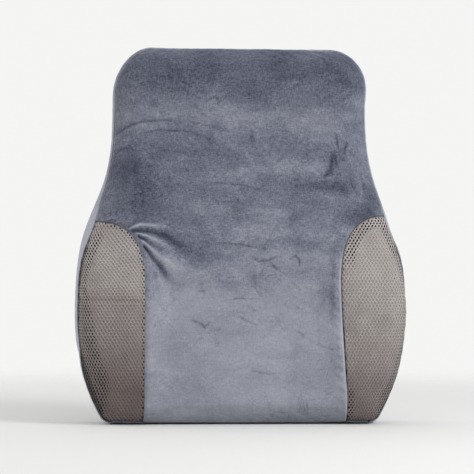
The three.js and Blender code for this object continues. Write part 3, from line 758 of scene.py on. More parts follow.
def simulate_front(x, z, y):
    """How far the slack velvet lifts off or sinks into the foam between its seams, along its normal."""
    rows, cols = x.shape
    pick_r = np.unique(np.linspace(0, rows - 1, 84).round().astype(int))
    pick_c = np.unique(np.linspace(0, cols - 1, 66).round().astype(int))
    grid = np.stack([x, y, z], -1)[np.ix_(pick_r, pick_c)]
    r, c = grid.shape[:2]
    mesh = bpy.data.meshes.new("velvet_blank")
    mesh.from_pydata((grid.reshape(-1, 3) / CLOTH_SCALE).tolist(), [], grid_faces(r, c).tolist())
    cloth = bpy.data.objects.new("velvet_blank", mesh)
    bpy.context.scene.collection.objects.link(cloth)
    pin = cloth.vertex_groups.new(name="seams")
    edge = np.zeros((r, c), bool)
    edge[[0, -1]] = True
    edge[:, [0, -1]] = True
    pin.add(np.flatnonzero(edge.ravel()).tolist(), 1.0, "REPLACE")
    modifier = cloth.modifiers.new("cloth", "CLOTH")
    for key, value in CLOTH.items():
        setattr(modifier.settings, key, value)
    modifier.settings.effector_weights.gravity = CLOTH_GRAVITY
    modifier.point_cache.frame_start = 1
    modifier.point_cache.frame_end = CLOTH_FRAMES
    for number in range(1, CLOTH_FRAMES + 1):
        bpy.context.scene.frame_set(number)
    done = cloth.evaluated_get(bpy.context.evaluated_depsgraph_get()).to_mesh()
    moved = np.empty(r * c * 3)
    done.vertices.foreach_get("co", moved)
    moved = moved.reshape(r, c, 3) * CLOTH_SCALE
    bpy.data.objects.remove(cloth)
    bpy.data.meshes.remove(mesh)
    bpy.context.scene.frame_set(1)
    lift = ((moved - grid) * grid_normals(grid)).sum(-1)
    across = np.stack([np.interp(np.arange(cols), pick_c, row) for row in lift])
    return np.stack([np.interp(np.arange(rows), pick_r, column) for column in across.T], 1)


def softened(field, passes=6):
    """A field of rows and columns with its finest steps smoothed away."""
    for _ in range(passes):
        padded = np.pad(field, 1, mode="edge")
        field = (padded[:-2, 1:-1] + padded[2:, 1:-1] + padded[1:-1, :-2] + padded[1:-1, 2:]) / 8 + field / 2
    return field


def edge_distance(x, z):
    """Distance of points of the velvet panel from its nearest seam."""
    line = FRONT_EDGE[FRONT_EDGE[:, 1] > WING_ARC_Z + WING_ARC_UP - 2][::3]
    side = line_distance(np.abs(x), z, line)[0]
    return np.minimum(side, np.minimum(FRONT_EDGE[-1, 1] - z, z - FRONT_FOOT))


def build_front():
    bx, bz = velvet_boundary()
    u = spaced(290, 0.5)
    x = bx[:, None] * u[None, :]
    z = np.repeat(bz[:, None], len(u), 1)
    seam = wing_seam_distance(x, z)
    edge = np.minimum(edge_distance(x, z), seam)
    clear = smooth((rim_x(z) - np.abs(x)) / 18)
    # Where the velvet laps over the mesh: all of the left seam, and the foot of the right one.
    lapped = np.exp(-((seam / 9) ** 2)) * np.where(x < 0, clear, 0.8 * (1 - smooth((z - 30) / 40)))
    x, z = settled(x, z)
    x = x + LAP * lapped * np.sign(x)
    y = front_y(x, z)
    normals = front_normals(x, z)
    held = smooth(edge / 14)
    grid = np.stack([x, y, z], -1)
    relief, tone = pressed_folds(x, z)
    lift = relief * smooth((edge + 1) / 4)
    lift += pucker(edge, z + 0.6 * np.abs(x)) * smooth(edge / 3)
    broad, narrow = noise_at(grid * [0.8, 0.3, 1.0], 46, 1), noise_at(grid * [0.6, 0.3, 1.0], 17, 2)
    lift += held * (1.3 * broad + 0.6 * narrow)
    slack = simulate_front(x, z, y)
    lift += softened(CLOTH_CAP * np.tanh(slack / CLOTH_CAP))
    lift -= seam_dip(seam) * (1 - 0.6 * lapped)
    grid = grid + normals * lift[..., None]
    # The pile's lightness: its brushed tone and painted shade, with the folds' painted highlights and painted
    # shade.
    nap_and_shade = np.clip(nap_and_shade_of(grid) + tone, 0, 1)
    points, faces = shell(grid, normals=normals)
    panel = put("front_panel", points, faces, VELVET, "velvet")
    float_layer(panel, "nap_and_shade", np.tile(nap_and_shade.ravel(), 2))
    # A painted highlight along the right seam, less of it above the wing's straight part.
    lit = np.exp(-(((seam - 0.8) / 0.75) ** 2)) * (x > 0) * (1 - 0.85 * smooth((z - 195) / 30))
    float_layer(panel, "lit", np.tile((0.58 * lit).ravel(), 2))
    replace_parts(panel, "front_panel")


WING_FROM, WING_MIDDLE, WING_TO_Z = 110.0, 165.0, 275.0


def wing_map():
    """Arc-length maps of the wing's face: rows of x and s for each whole z, and z against t."""
    rows = []
    for z in np.arange(FRONT_FOOT, WING_TO_Z, 1.0):
        x = WING_FROM + (rim_x(z) - WING_FROM) * np.sin(np.linspace(0, math.pi / 2, 160))
        s = run_length(np.stack([x, front_y(x, np.full_like(x, z))], 1))
        rows.append((x, s - np.interp(WING_INNER, x, s)))
    low = FRONT_FOOT + 22 * (1 - np.cos(np.linspace(0, math.pi / 2, 60)))
    z = np.concatenate([low, np.linspace(25.5, 280, 400)])
    return rows, z, run_length(np.stack([z, front_y(np.full_like(z, WING_MIDDLE), z)], 1))


WING_ROWS, WING_MZ, WING_MT = wing_map()


def on_wing(s, t):
    """Points on the wing's face at arc-length coordinates s, t."""
    z = np.interp(t, WING_MT, WING_MZ)
    f = np.clip(z - FRONT_FOOT, 0, len(WING_ROWS) - 1.001)
    j = f.astype(int)
    f = f - j
    x = np.array([(1 - fi) * np.interp(si, WING_ROWS[ji][1], WING_ROWS[ji][0])
                  + fi * np.interp(si, WING_ROWS[ji + 1][1], WING_ROWS[ji + 1][0])
                  for si, ji, fi in zip(s, j, f)])
    return np.stack([x, front_y(x, z), z], 1)


def to_wing(x, z):
    """Arc-length coordinates of points of the wing's face, the inverse of on_wing."""
    j = np.clip(np.round(z - FRONT_FOOT), 0, len(WING_ROWS) - 1).astype(int)
    s = np.array([np.interp(xi, *WING_ROWS[ji]) for xi, ji in zip(x, j)])
    return s, np.interp(z, WING_MZ, WING_MT)


def wing_outline(step=1.6):
    """The wing panel's edge in arc-length coordinates, evenly spaced, anticlockwise."""
    ax, az = wing_arc(200)
    keep = ax < rim_x(az) - 0.3
    ax, az = ax[keep], az[keep]
    seam = FRONT_EDGE[FRONT_EDGE[:, 1] < az[-1]]
    foot = np.linspace(WING_INNER, seam[0, 0], 40)
    px = np.concatenate([foot, seam[1:, 0], ax[::-1], np.full(80, WING_INNER)])
    pz = np.concatenate([np.full(40, FRONT_FOOT), seam[1:, 1], az[::-1], np.linspace(WING_ARC_Z - 1, 4, 80)])
    loop = np.stack(to_wing(px, pz), 1)
    loop = np.concatenate([loop, loop[:1]])
    run = run_length(loop)
    return at_run(loop, run, np.linspace(0, run[-1], int(run[-1] / step), endpoint=False))


def inside_distance(points, loop):
    """Distance from the loop, negative outside it."""
    best = np.full(len(points), 1e9)
    crossings = np.zeros(len(points), int)
    for p, q in zip(loop, np.roll(loop, -1, axis=0)):
        d = q - p
        t = np.clip(((points - p) @ d) / (d @ d), 0, 1)
        best = np.minimum(best, np.hypot(*(points - p - t[:, None] * d).T))
        spans = (p[1] > points[:, 1]) != (q[1] > points[:, 1])
        crossing = p[0] + (points[:, 1] - p[1]) * d[0] / (d[1] if abs(d[1]) > 1e-12 else 1e-12)
        crossings += spans & (points[:, 0] < crossing)
    return np.where(crossings % 2 == 1, best, -best)


# Painted shade on the mesh from the foot up, darker towards the foot; the left wing is painted darker below
# its crease.
PAINTED_SHADE_Z = [0, 45, 95, 140, 157, 176, 220, 260]
WING_PAINTED_SHADE = {"left": [0.0, 0.04, 0.34, 0.54, 0.58, 0.88, 0.90, 0.78],
              "right": [0.12, 0.34, 0.64, 0.92, 0.95, 0.98, 1.0, 1.0]}
# The net: its repeat, and its holes' radius, stretch both ways, slant, sides and unevenness.
PITCH, NET_DEPTH, BACKING_GAP, BACKING_THICK = 4.5, 0.8, 0.05, 0.5
HOLE, HOLE_STRETCH, HOLE_SLANT, SIDES, HOLE_VARIES, HOLE_STRAYS = 1.27, (1.33, 0.84), 72, 12, 0.07, 0.12
RIM_SINK, CORNER_RISE = -0.16, 0.18
CREASE_Z = 157  # where the left wing is creased across


def ring(radius, steps=6):
    """A circle's outline."""
    turn = np.linspace(0, 2 * math.pi, steps, endpoint=False)
    return np.stack([np.cos(turn), np.sin(turn)], 1) * radius


def vertex_normals(points, tris):
    a, b, c = (points[tris[:, k]] for k in range(3))
    return corner_normals(points, tris, np.cross(b - a, c - a))


def wing_lattice():
    """The hexagonal net of a wing laid flat: points, triangles, and what each belongs to."""
    loop = wing_outline()
    lo, hi = loop.min(0), loop.max(0)
    row_h = PITCH * math.sqrt(3) / 2
    centres = np.array([(s + (r % 2) * PITCH / 2, t)
                        for r, t in enumerate(np.arange(lo[1] - row_h, hi[1] + row_h, row_h))
                        for s in np.arange(lo[0] - PITCH, hi[0] + PITCH, PITCH)])
    corner = PITCH / math.sqrt(3)
    corners = np.concatenate([centres + (0, corner), centres - (0, corner)])
    centres = centres[inside_distance(centres, loop) > 1.6 * HOLE + 0.4]
    corners = corners[inside_distance(corners, loop) > 1.0]
    rng = random.Random(7)
    slant = math.radians(HOLE_SLANT)
    turn = np.array([[math.cos(slant), math.sin(slant)], [-math.sin(slant), math.cos(slant)]])
    oval = ring(1.0, SIDES) * HOLE_STRETCH @ turn
    rims = []
    inside = inside_distance(centres, loop)
    opened = 1 + 0.14 * (1 - smooth((inside - 22) / 14)) * smooth((centres[:, 0] - 45) / 15)
    for c, wider in zip(centres, opened):
        r = HOLE * wider * (1 + rng.uniform(-HOLE_VARIES, HOLE_VARIES))
        off = np.array([rng.uniform(-HOLE_STRAYS, HOLE_STRAYS) for _ in range(2)])
        rims.append(c + off + r * oval)
    n_loop, n_hole = len(loop), len(centres)
    rings = [list(range(n_loop))] + [
        list(range(n_loop + h * SIDES, n_loop + (h + 1) * SIDES)) for h in range(n_hole)]
    verts = [Vector(v) for v in np.concatenate([loop, *rims, corners])]
    out = delaunay_2d_cdt(verts, [], rings, 1, 1e-4, True)
    flat = np.array([tuple(v) for v in out[0]])
    tris = np.array(out[2])
    in_hole = np.array([any(o > 0 for o in origin) for origin in out[5]])
    source = np.array([o[0] if o else -1 for o in out[3]])
    kind = np.where(source >= n_loop + n_hole * SIDES, 2, np.where(source >= n_loop, 1, 0))
    hole_of = (source - n_loop) // SIDES
    return flat, tris, in_hole, kind, hole_of, centres, inside_distance(flat, loop)


def sewn_on(p, flip):
    """Points of a wing's face moved to where that wing is sewn, still drawn on the right side."""
    x, z = settled(flip * p[:, 0], p[:, 2])
    return np.stack([flip * x, front_y(x, z), z], 1)


def build_wings():
    flat, tris, in_hole, kind, hole_of, centres, edge = wing_lattice()
    top = on_wing(flat[:, 0], flat[:, 1])
    middles = on_wing(centres[:, 0], centres[:, 1])
    count = len(flat)
    faces = two_sided(tris[~in_hole], count)
    all_faces = faces + [tuple(i + 2 * count for i in f) for f in two_sided(tris, count)]
    rim = kind == 1
    drawn = top, middles
    for side, mirror in (("right", False), ("left", True)):
        top, middles = (sewn_on(p, -1 if mirror else 1) for p in drawn)
        normals = vertex_normals(top, tris)
        z = top[:, 2]
        lift = -seam_dip(np.abs(edge), 2.0, 3.0)
        lift += smooth(edge / 10) * (1.5 * noise_at(top + (300.0 if mirror else 0.0), 42, 6))
        lift += pucker(edge, z, 15.0, 0.4) * smooth(edge / 3)
        if mirror:
            crease = z - CREASE_Z - 0.03 * (top[:, 0] - WING_MIDDLE)
            lift -= 1.3 * np.exp(-((crease / 2.4) ** 2)) * smooth(edge / 12)
        lift += 0.5 * smooth(edge / 12) * np.sin(z / 19.0 + (2.0 if mirror else 0.0))
        rise = np.where(kind == 2, CORNER_RISE, np.where(rim, RIM_SINK, 0.0))
        skin = top + normals * (rise + lift)[:, None]
        under = skin - normals * NET_DEPTH
        # A hole is a little wider at its back than at its front.
        middle = middles[hole_of[rim]] + normals[rim] * (lift[rim] - NET_DEPTH)[:, None]
        under[rim] += 0.12 * (under[rim] - middle)
        # The backing knit lies under the holes and is a thin closed sheet of its own.
        outer = top + normals * (lift - NET_DEPTH - BACKING_GAP)[:, None]
        inner = outer - normals * BACKING_THICK
        # How far in from the wing's edge the knit lies in shadow: how far, and where.
        seam = 1 - smooth((edge - 1.6) / 2.2)
        outer_side = smooth((flat[:, 0] - 45) / 15)
        if side == "right":
            high = smooth((z - 190) / 25) * (1 - smooth((flat[:, 0] - 52) / 14))
            low = (1 - smooth((z - 40) / 15)) * (flat[:, 0] < 30)
            shadow_bands = ((13.5, high), (9.0, low), (17.0 + 5 * smooth((110 - z) / 60), outer_side))
        else:
            rolled = 36 - 15 * smooth((z - 125) / 60)
            shadow_bands = ((rolled, outer_side * (1 - smooth((z - 225) / 40))), (4.5, 1 - outer_side))
        for reach, where in shadow_bands:
            seam = np.maximum(seam, (1 - smooth((edge - reach) / 4)) * where)
        wing = put(f"mesh_wing_{side}", np.concatenate([skin, under, outer, inner]), all_faces,
                   [MESH, BACKING], "mesh", mirror=mirror)
        second_material(wing, len(faces))
        # The strands are painted nearly black as shade along the sewn edge, in a wider band where the mesh
        # turns over the outer side and at the foot; the hole walls and the knit take the painted shadow too.
        turned = np.maximum(outer_side * (1 - smooth((z - 215) / 35)), 0.5 * (1 - smooth((z - 6) / 6)))
        edge_shade = (1 - smooth((edge - 0.9 - 6 * turned) / (1.2 + 5 * turned))) * (1 - 0.15 * turned)
        float_layer(wing, "seam", np.concatenate([edge_shade, np.maximum(edge_shade, seam), seam, seam]))
        # Painted shade by height.
        float_layer(wing, "shade", np.tile(np.interp(z, PAINTED_SHADE_Z, WING_PAINTED_SHADE[side]), 4))
        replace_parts(wing, f"mesh_wing_{side}")


def two_sided(tris, count):
    """Faces of a closed sheet: the triangles, their copies `count` points on, and walls between."""
    used = {(f[k], f[(k + 1) % 3]) for f in tris.tolist() for k in range(3)}
    faces = [tuple(f) for f in tris] + [tuple(i + count for i in f[::-1]) for f in tris]
    return faces + [(b, a, a + count, b + count) for a, b in used if (b, a) not in used]


# ---- Gussets and back ------------------------------------------------------------------------------


def band(xf, zf, xb, zb, nx, nz, z_side):
    """A gusset strip: one row a station along the seams, front seam to back seam across."""
    yf, yb = front_seam_y(zf), np.full_like(zf, -BACK_CROWN)
    share = np.minimum(BAND_ROUND / (yb - yf), BAND_MOST)
    open_ = flare(z_side)
    front_share = share + (np.minimum(FLARE_ROUND / (yb - yf), FLARE_MOST) - share) * open_
    back_share = np.minimum(share, 0.97 - front_share)

    def column(ex, ez, v, out):
        return np.stack([ex + nx * out, yf + (yb - yf) * v, ez + nz * out], 1)

    def opened(t):
        return front_inset(z_side) * (round_over(t) + (t - round_over(t)) * open_)

    ts = 1 - np.cos(np.linspace(0, math.pi / 2, 7))  # closer together near the seam
    cols = [column(xf, zf, t * front_share, opened(t)) for t in ts]
    back = [column(xb, zb, 1 - t * back_share, BACK_INSET * round_over(t)) for t in ts[::-1]]
    cols += [cols[-1] + (back[0] - cols[-1]) * k for k in np.linspace(0, 1, 13)[1:-1]]
    return np.stack(cols + back, 1)


def side_band(front, back, side):
    """The right gusset's strip between the front and the back edge."""
    return band(front[:, 0], front[:, 1], back[:, 0], back[:, 1], side[:, 2], side[:, 3], side[:, 1])


def end_band(u, front, back, side, row, sign):
    """The top or bottom gusset's strip at stations u across it, between two edges' last or first rows."""
    full = np.full(len(u), 1.0)
    return band(u * front[row, 0], full * front[row, 1], u * back[row, 0], full * back[row, 1],
                full * 0, full * sign, full * side[row, 1])


def gusset(name, p, lie_and_light):
    p = outward(p)
    depth = np.abs(np.linspace(-1, 1, p.shape[1]))[None, :]
    step = np.hypot(np.gradient(p[..., 0], axis=0), np.gradient(p[..., 2], axis=0))
    along = np.cumsum(step, axis=0)
    inner = 1 - depth**4
    gathers = 0.3 * inner * depth**2 * np.sin(2 * math.pi * along / 15)
    lift = inner * (0.9 * noise_at(p, 38, 8) - 0.35) + gathers
    p = p + grid_normals(p) * lift[..., None]
    p[..., 2] = np.maximum(p[..., 2], FLOOR_GAP)
    points, faces = shell(p)
    piece = put(name, points, faces, VELVET, "velvet")
    # The gusset's pile: the front's brushed tone and painted shade, made lighter by a painted-light amount.
    float_layer(piece, "nap_and_shade", np.tile(nap_and_shade_of(p, lie_and_light).ravel(), 2))
    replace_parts(piece, name)


def build_gussets():
    # Each gusset's pile is painted lighter as painted light: the sides, the top more towards its ends, and
    # the foot most.
    for side, flip in (("right", 1), ("left", -1)):
        gusset(f"gusset_{side}", side_band(FRONT_EDGE, BACK_EDGE, SIDE) * [flip, 1, 1], 0.5)
    for name, row, sign in (("gusset_top", -1, 1), ("gusset_bottom", 0, -1)):
        u = spaced(150)
        p = end_band(u, FRONT_EDGE, BACK_EDGE, SIDE, row, sign)
        if sign < 0:
            # The foot's front edge comes forward and turns up under the front panel and the wings.
            seam_y = front_y(p[:, :1, 0], np.full((len(u), 1), FRONT_FOOT)) + 0.8
            back_from = p[..., 1] - p[:, :1, 1]
            near = 1 - smooth(back_from / 20)
            p[..., 2] += near * (FRONT_FOOT + 0.6 - p[:, :1, 2])
            p[..., 1] += near * np.minimum(seam_y - p[:, :1, 1], 0)
        ends = smooth((np.abs(u[:, None]) - 0.6) / 0.4)
        gusset(name, p, 0.3 + 0.2 * ends if sign > 0 else 0.8)


SLOT_HALF, SLOT_END, CHANNEL_DEEP = 5.8, 148, 4.0  # the zip's slot, and the hollow behind it


def build_back():
    u = spaced(170, 0.45)
    for name, low, high in (("back_panel_lower", BACK_EDGE[0, 1], ZIP_Z - 0.2),
                            ("back_panel_upper", ZIP_Z + 0.2, BACK_EDGE[-1, 1])):
        rows = BACK_EDGE[(BACK_EDGE[:, 1] > low + 0.5) & (BACK_EDGE[:, 1] < high - 0.5)]
        ends = [[rim_x(z, BACK_EDGE), z] for z in (low, high)]
        rows = np.concatenate([ends[:1], rows, ends[1:]])
        x = rows[:, 0][:, None] * u[None, :]
        z = np.repeat(rows[:, 1][:, None], len(u), 1)
        slot = SLOT_HALF * (1 - smooth((np.abs(x) - SLOT_END) / 4))
        away = np.abs(z - ZIP_Z)
        z = z + np.sign(z - ZIP_Z) * slot * (1 - smooth(away / 24))
        y = back_y(x, z)
        off_slot = np.abs(z - ZIP_Z) - slot
        y = y - seam_dip(off_slot, 1.0, 1.6)
        edge = np.minimum(rows[:, 0][:, None] - np.abs(x), np.minimum(HEIGHT - 8 - z, z - 8))
        grid = np.stack([x, y, z], -1)
        calm = smooth(edge / 20) * smooth(off_slot / 10)
        y = y - calm * (0.9 + 1.7 * noise_at(grid, 52, 9) + 0.8 * noise_at(grid, 19, 10))
        y = y - np.clip(pucker(edge, z + x, 14.0, 0.4), -1, 0.1) * smooth(edge / 3)
        y = np.minimum(y, -0.02)
        grid = outward(np.stack([x, y, z], -1))
        points, faces = shell(grid)
        piece = put(name, points, faces, VELVET, "velvet")
        # The back's pile: half the front's brushed tone and painted shade, made a little lighter.
        float_layer(piece, "nap_and_shade", np.tile((0.5 * nap_and_shade_of(grid) + 0.22).ravel(), 2))
        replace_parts(piece, name)


def closed_surface(stations=110, columns=70):
    """The cushion's whole outer surface welded into one: points, faces and normals."""
    pick = np.unique(np.linspace(0, len(SIDE) - 1, stations).round().astype(int))
    front, back, side = FRONT_EDGE[pick], BACK_EDGE[pick], SIDE[pick]
    u = spaced(columns, 0.4)

    def face(edge, height_of):
        x, z = edge[:, :1] * u, np.repeat(edge[:, 1:], len(u), 1)
        return np.stack([x, height_of(x, z), z], -1)

    right = side_band(front, back, side)
    grids = [face(front, front_y), face(back, back_y), right, right * [-1, 1, 1]]
    grids += [end_band(u, front, back, side, row, sign) for row, sign in ((-1, 1.0), (0, -1.0))]
    points, faces, count = [], [], 0
    for grid in map(outward, grids):
        points.append(grid.reshape(-1, 3))
        faces.append(grid_faces(*grid.shape[:2], start=count))
        count += len(points[-1])
    points, faces = np.concatenate(points), np.concatenate(faces)
    # Points that two grids share are welded into one.
    _, first, same = np.unique(np.round(points, 3), axis=0, return_index=True, return_inverse=True)
    points, faces = points[first], same.ravel()[faces]
    a, b, c, d = (points[faces[:, k]] for k in range(4))
    return points, faces, corner_normals(points, faces, np.cross(c - a, d - b))


def build_inside():
    """The foam core and the thin liner round it, both below the cover."""
    points, faces, normals = closed_surface()
    x, y, z = points.T
    channel = ((y > -BACK_CROWN) * (1 - smooth((np.abs(z - ZIP_Z) - 14) / 4))
               * (1 - smooth((np.abs(x) - 158) / 5)))

    def sunk(depth):
        p = points - normals * depth
        p[:, 1] -= CHANNEL_DEEP * channel
        return p

    both = np.concatenate([faces, faces[:, ::-1] + len(points)])
    bag = np.concatenate([sunk(LINER_DEPTH), sunk(LINER_DEPTH + 0.6)])
    liner = put("liner_bag", bag, both, LINER, "liner")
    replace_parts(liner, "inner_liner")
    foam = put("foam_pad", sunk(LINER_DEPTH + 1.0), faces, FOAM, "foam")
    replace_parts(foam, "foam_core")


def build_allowances():
    """The turned-in edges of velvet and mesh, sewn together under each wing's seam."""
    line = wing_seam(70, 4, WING_ARC_Z - 1, 80)
    line = line[line[:, 0] < rim_x(line[:, 1]) - 1.5]
    way = unit(np.gradient(line, axis=0))
    off = np.linspace(-5, 5, 7)
    x = line[:, :1] + way[:, 1:] * off
    z = line[:, 1:] - way[:, :1] * off
    x = np.minimum(x, rim_x(z) - 1.2)
    for side, flip in (("right", 1), ("left", -1)):
        sx, sz = settled(flip * x, z)
        points, faces = shell(outward(np.stack([sx, front_y(sx, sz) + 4.3, sz], -1)), 0.5)
        put(f"seam_allowance_{side}", points, faces, ALLOWANCE, "velvet")


# ---- Straps and finished hardware -------------------------------------------------------------------

# Webbing: half its width and thickness, its rest off the back, where its thread lies and its wave.
WEB_WIDE, WEB_HALF, WEB_REST, THREAD_OFF, WEB_RIB = 12.5, 0.75, 1.3, 0.78, 1.55
# The bar each strap half is looped round, and the second layer's height over the first.
BAR_RADIUS, BAR_GAP, BAR_Y, LAYER_UP = 2.1, 0.3, 0.5 + 4.7, 1.9
# Where a strap's loop lies beside the buckle and how long its tail is: sewn to the socket, or adjustable.
FIXED_LOOP, ADJUSTABLE_LOOP = (18.5, 24.0), (24.0, 78.0)


def facing_out(points, faces):
    """The faces, all turned over if the solid they close would be inside out."""
    volume = 0.0
    for f in faces:
        p = points[list(f)]
        volume += np.einsum("ij,ij->", np.cross(p[1:-1], p[2:]), np.broadcast_to(p[0], p[1:-1].shape))
    return faces if volume > 0 else [tuple(f)[::-1] for f in faces]


def sweep(path, side, up, profile):
    """A closed bar: profile (across, high) carried along path with its axes side and up."""
    path, side, up = (np.asarray(v, float) for v in (path, side, up))
    profile = np.asarray(profile, float)
    if profile.ndim == 2:
        profile = np.broadcast_to(profile, (len(path), *profile.shape))
    points = path[:, None] + side[:, None] * profile[..., :1] + up[:, None] * profile[..., 1:]
    n, m = profile.shape[:2]
    faces = [tuple(q) for q in grid_faces(n, m, wrap=True)]
    faces += [tuple(range(m))[::-1], tuple((n - 1) * m + k for k in range(m))]
    points = points.reshape(-1, 3)
    return points, facing_out(points, faces)


def flat_ring(across, half):
    """The outline of a flat web, from half its thickness at stations across it."""
    return np.concatenate([np.stack([across, half], 1), np.stack([across, -half], 1)[::-1]])


def gathered(parts):
    """Several solids as one list of points and faces."""
    points, faces, count = [], [], 0
    for p, f in parts:
        points.append(p)
        faces += [tuple(i + count for i in face) for face in f]
        count += len(p)
    return np.concatenate(points), faces


def stitch(a, b, up, radius=0.22):
    """One thread stitch from a to b, bowed up a little between its ends."""
    t = np.linspace(0, 1, 7)[:, None]
    path = a + (b - a) * t + up * 0.28 * np.sin(math.pi * t)
    side = np.cross(unit(b - a), up)
    return sweep(path, np.tile(side, (7, 1)), np.tile(up, (7, 1)), ring(radius))


def stitch_row(points, up, length=2.4, gap=0.8):
    """Stitches along a polyline."""
    points = np.asarray(points, float)
    steps = np.linalg.norm(np.diff(points, axis=0), axis=1)
    along = np.concatenate([[0], np.cumsum(steps)])
    count = max(int(along[-1] / (length + gap)), 1)
    pitch = along[-1] / count
    starts = at_run(points, along, np.arange(count) * pitch + gap / 2)
    ends = at_run(points, along, np.arange(1, count + 1) * pitch - gap / 2)
    return [stitch(a, b, up) for a, b in zip(starts, ends)]


def strap_path(seam_x, loop_x, tail):
    """The centre line of half a strap in x and y, as in the CAD source, its corners eased."""
    rest, turn = WEB_REST, BAR_RADIUS + BAR_GAP + WEB_HALF
    over = rest + 2 * WEB_HALF + 0.4
    a = np.linspace(0.06 * math.pi, math.pi / 2, 40)
    bend = seam_x - BACK_ROUND
    line = [(bend + (BACK_ROUND + rest) * math.cos(k), -BACK_CROWN + (BACK_CROWN + rest) * math.sin(k))
            for k in a]
    line += [(loop_x + 16, rest), (loop_x + 6, BAR_Y - turn), (loop_x, BAR_Y - turn)]
    a = np.linspace(-math.pi / 2, -1.5 * math.pi, 24)
    line += [(loop_x + turn * math.cos(k), BAR_Y + turn * math.sin(k)) for k in a]
    line += [(loop_x + 9, BAR_Y + turn), (loop_x + 25, over), (loop_x + 25 + tail, over)]
    line = np.array(line)
    run = run_length(line)
    path = at_run(line, run, np.linspace(0, run[-1], int(run[-1] / 0.7)))
    for _ in range(3):
        path[1:-1] = path[1:-1] / 2 + (path[:-2] + path[2:]) / 4
    return path


def build_strap(level, kind):
    z0 = STRAP_Z[level]
    seam_x = float(max(half_width(z0 - WEB_WIDE), half_width(z0 + WEB_WIDE))) - BACK_INSET + 0.4
    fixed = kind == "fixed"
    loop_x, tail = FIXED_LOOP if fixed else ADJUSTABLE_LOOP
    path = strap_path(seam_x, loop_x, tail)
    way = unit(np.gradient(path, axis=0))
    n = len(path)
    up = np.stack([way[:, 1], -way[:, 0], np.zeros(n)], 1)
    side = np.tile([0.0, 0.0, 1.0], (n, 1))
    s = np.concatenate([-WEB_WIDE * np.cos(np.linspace(0, 0.35, 5)), np.linspace(-11.6, 11.6, 59),
                        WEB_WIDE * np.cos(np.linspace(0.35, 0, 5))])
    round_ = np.sqrt(np.clip(1 - (np.clip(np.abs(s) - 11.75, 0, None) / 0.76) ** 2, 0.01, 1))
    half = 0.7 * round_ + 0.05 * np.cos(2 * math.pi * s / WEB_RIB) * (np.abs(s) < 11.9)
    waver = 0.25 * np.sin(path[:, 0] / 23.0 + (0 if level == "upper" else 2))
    centre = np.column_stack([path, z0 + waver * smooth((path[:, 0] - 60) / 30)])
    web = sweep(centre, side, up, flat_ring(s, half))
    y = WEB_REST + LAYER_UP + THREAD_OFF
    out = np.array([0.0, 1.0, 0.0])
    threads = []
    if fixed:
        x0, x1, h = loop_x + 27.5, loop_x + 46.5, 9.0
        box = [(x0, -h), (x1, -h), (x1, h), (x0, h), (x0, -h)]
        for line in (box, [(x0, -h), (x1, h)], [(x0, h), (x1, -h)]):
            threads += stitch_row([(x, y, z0 + z) for x, z in line], out)
    else:
        for x in (loop_x + 25 + tail - 3.5, loop_x + 25 + tail - 5.5):
            threads += stitch_row([(x, y, z0 + z) for z in (-10.5, 10.5)], out)
    for x in (seam_x - 27.0, seam_x - 30.0):
        threads += stitch_row([(x, WEB_REST + THREAD_OFF, z0 + z) for z in (-10.5, 10.5)], out)
    points, faces = gathered([web, *threads])
    piece = put(f"{level}_webbing_{kind}", points, faces, [WEBBING, THREAD], "webbing",
                body="cushion" if fixed else None, mirror=fixed)
    second_material(piece, len(web[1]))
    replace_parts(piece, f"{level}_strap_{kind}")
    if not fixed:
        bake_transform(piece)


FLAT_ANGLE, BEVEL_ANGLE, SHARP_ANGLE = (math.radians(a) for a in (1.5, 28, 38))


def finished(node, body, width, material):
    """A copy of a CAD part with its sharp edges rounded as moulding or casting leaves them."""
    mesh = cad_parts[node].data.copy()
    piece = bpy.data.objects.new(f"{node}_finished", mesh)
    bpy.context.scene.collection.objects.link(piece)
    work = bmesh.new()
    work.from_mesh(mesh)
    bmesh.ops.remove_doubles(work, verts=work.verts, dist=1e-6)
    bmesh.ops.dissolve_limit(work, angle_limit=FLAT_ANGLE, verts=work.verts, edges=work.edges)
    sharp = [e for e in work.edges if e.is_manifold and e.calc_face_angle(0) > BEVEL_ANGLE]
    bmesh.ops.bevel(work, geom=sharp, offset=width / 1000, segments=2, profile=0.6, affect="EDGES",
                    clamp_overlap=True)
    bmesh.ops.triangulate(work, faces=[f for f in work.faces if len(f.verts) > 4])
    work.to_mesh(mesh)
    work.free()
    mesh.materials.clear()
    mesh.materials.append(material)
    mesh.polygons.foreach_set("use_smooth", [True] * len(mesh.polygons))
    mesh.set_sharp_from_angle(angle=SHARP_ANGLE)
    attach(piece, body)
    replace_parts(piece, node)
    return piece


# ---- Zip and label ----------------------------------------------------------------------------------

TAPE_LONG, TAPE_WIDE, TAPE_Y, TAPE_OFF = 157, 6.1, -2.35, 6.9  # half length and width, and its middle
COIL_LONG, COIL_Y, COIL_OFF = 143.0, -0.95, 1.05
COIL_DEEP, COIL_WIDE, COIL_PITCH, COIL_WIRE = 0.5, 1.7, 1.5, 0.3
LABEL_LOW, LABEL_HIGH, LABEL_X, LABEL_WIDE, LABEL_THICK = 22.2, 53.4, -114.0, 22.0, 0.16


def rounded_bar(width, height, r, steps=3):
    """The outline of a bar with rounded corners, centred."""
    a = np.linspace(0, math.pi / 2, steps)
    corner = np.stack([np.cos(a), np.sin(a)], 1) * r
    w, h = width / 2 - r, height / 2 - r
    out = []
    for k, (sx, sy) in enumerate(((w, h), (-w, h), (-w, -h), (w, -h))):
        c, s = math.cos(k * math.pi / 2), math.sin(k * math.pi / 2)
        out += [(sx + p[0] * c - p[1] * s, sy + p[0] * s + p[1] * c) for p in corner]
    return np.array(out)


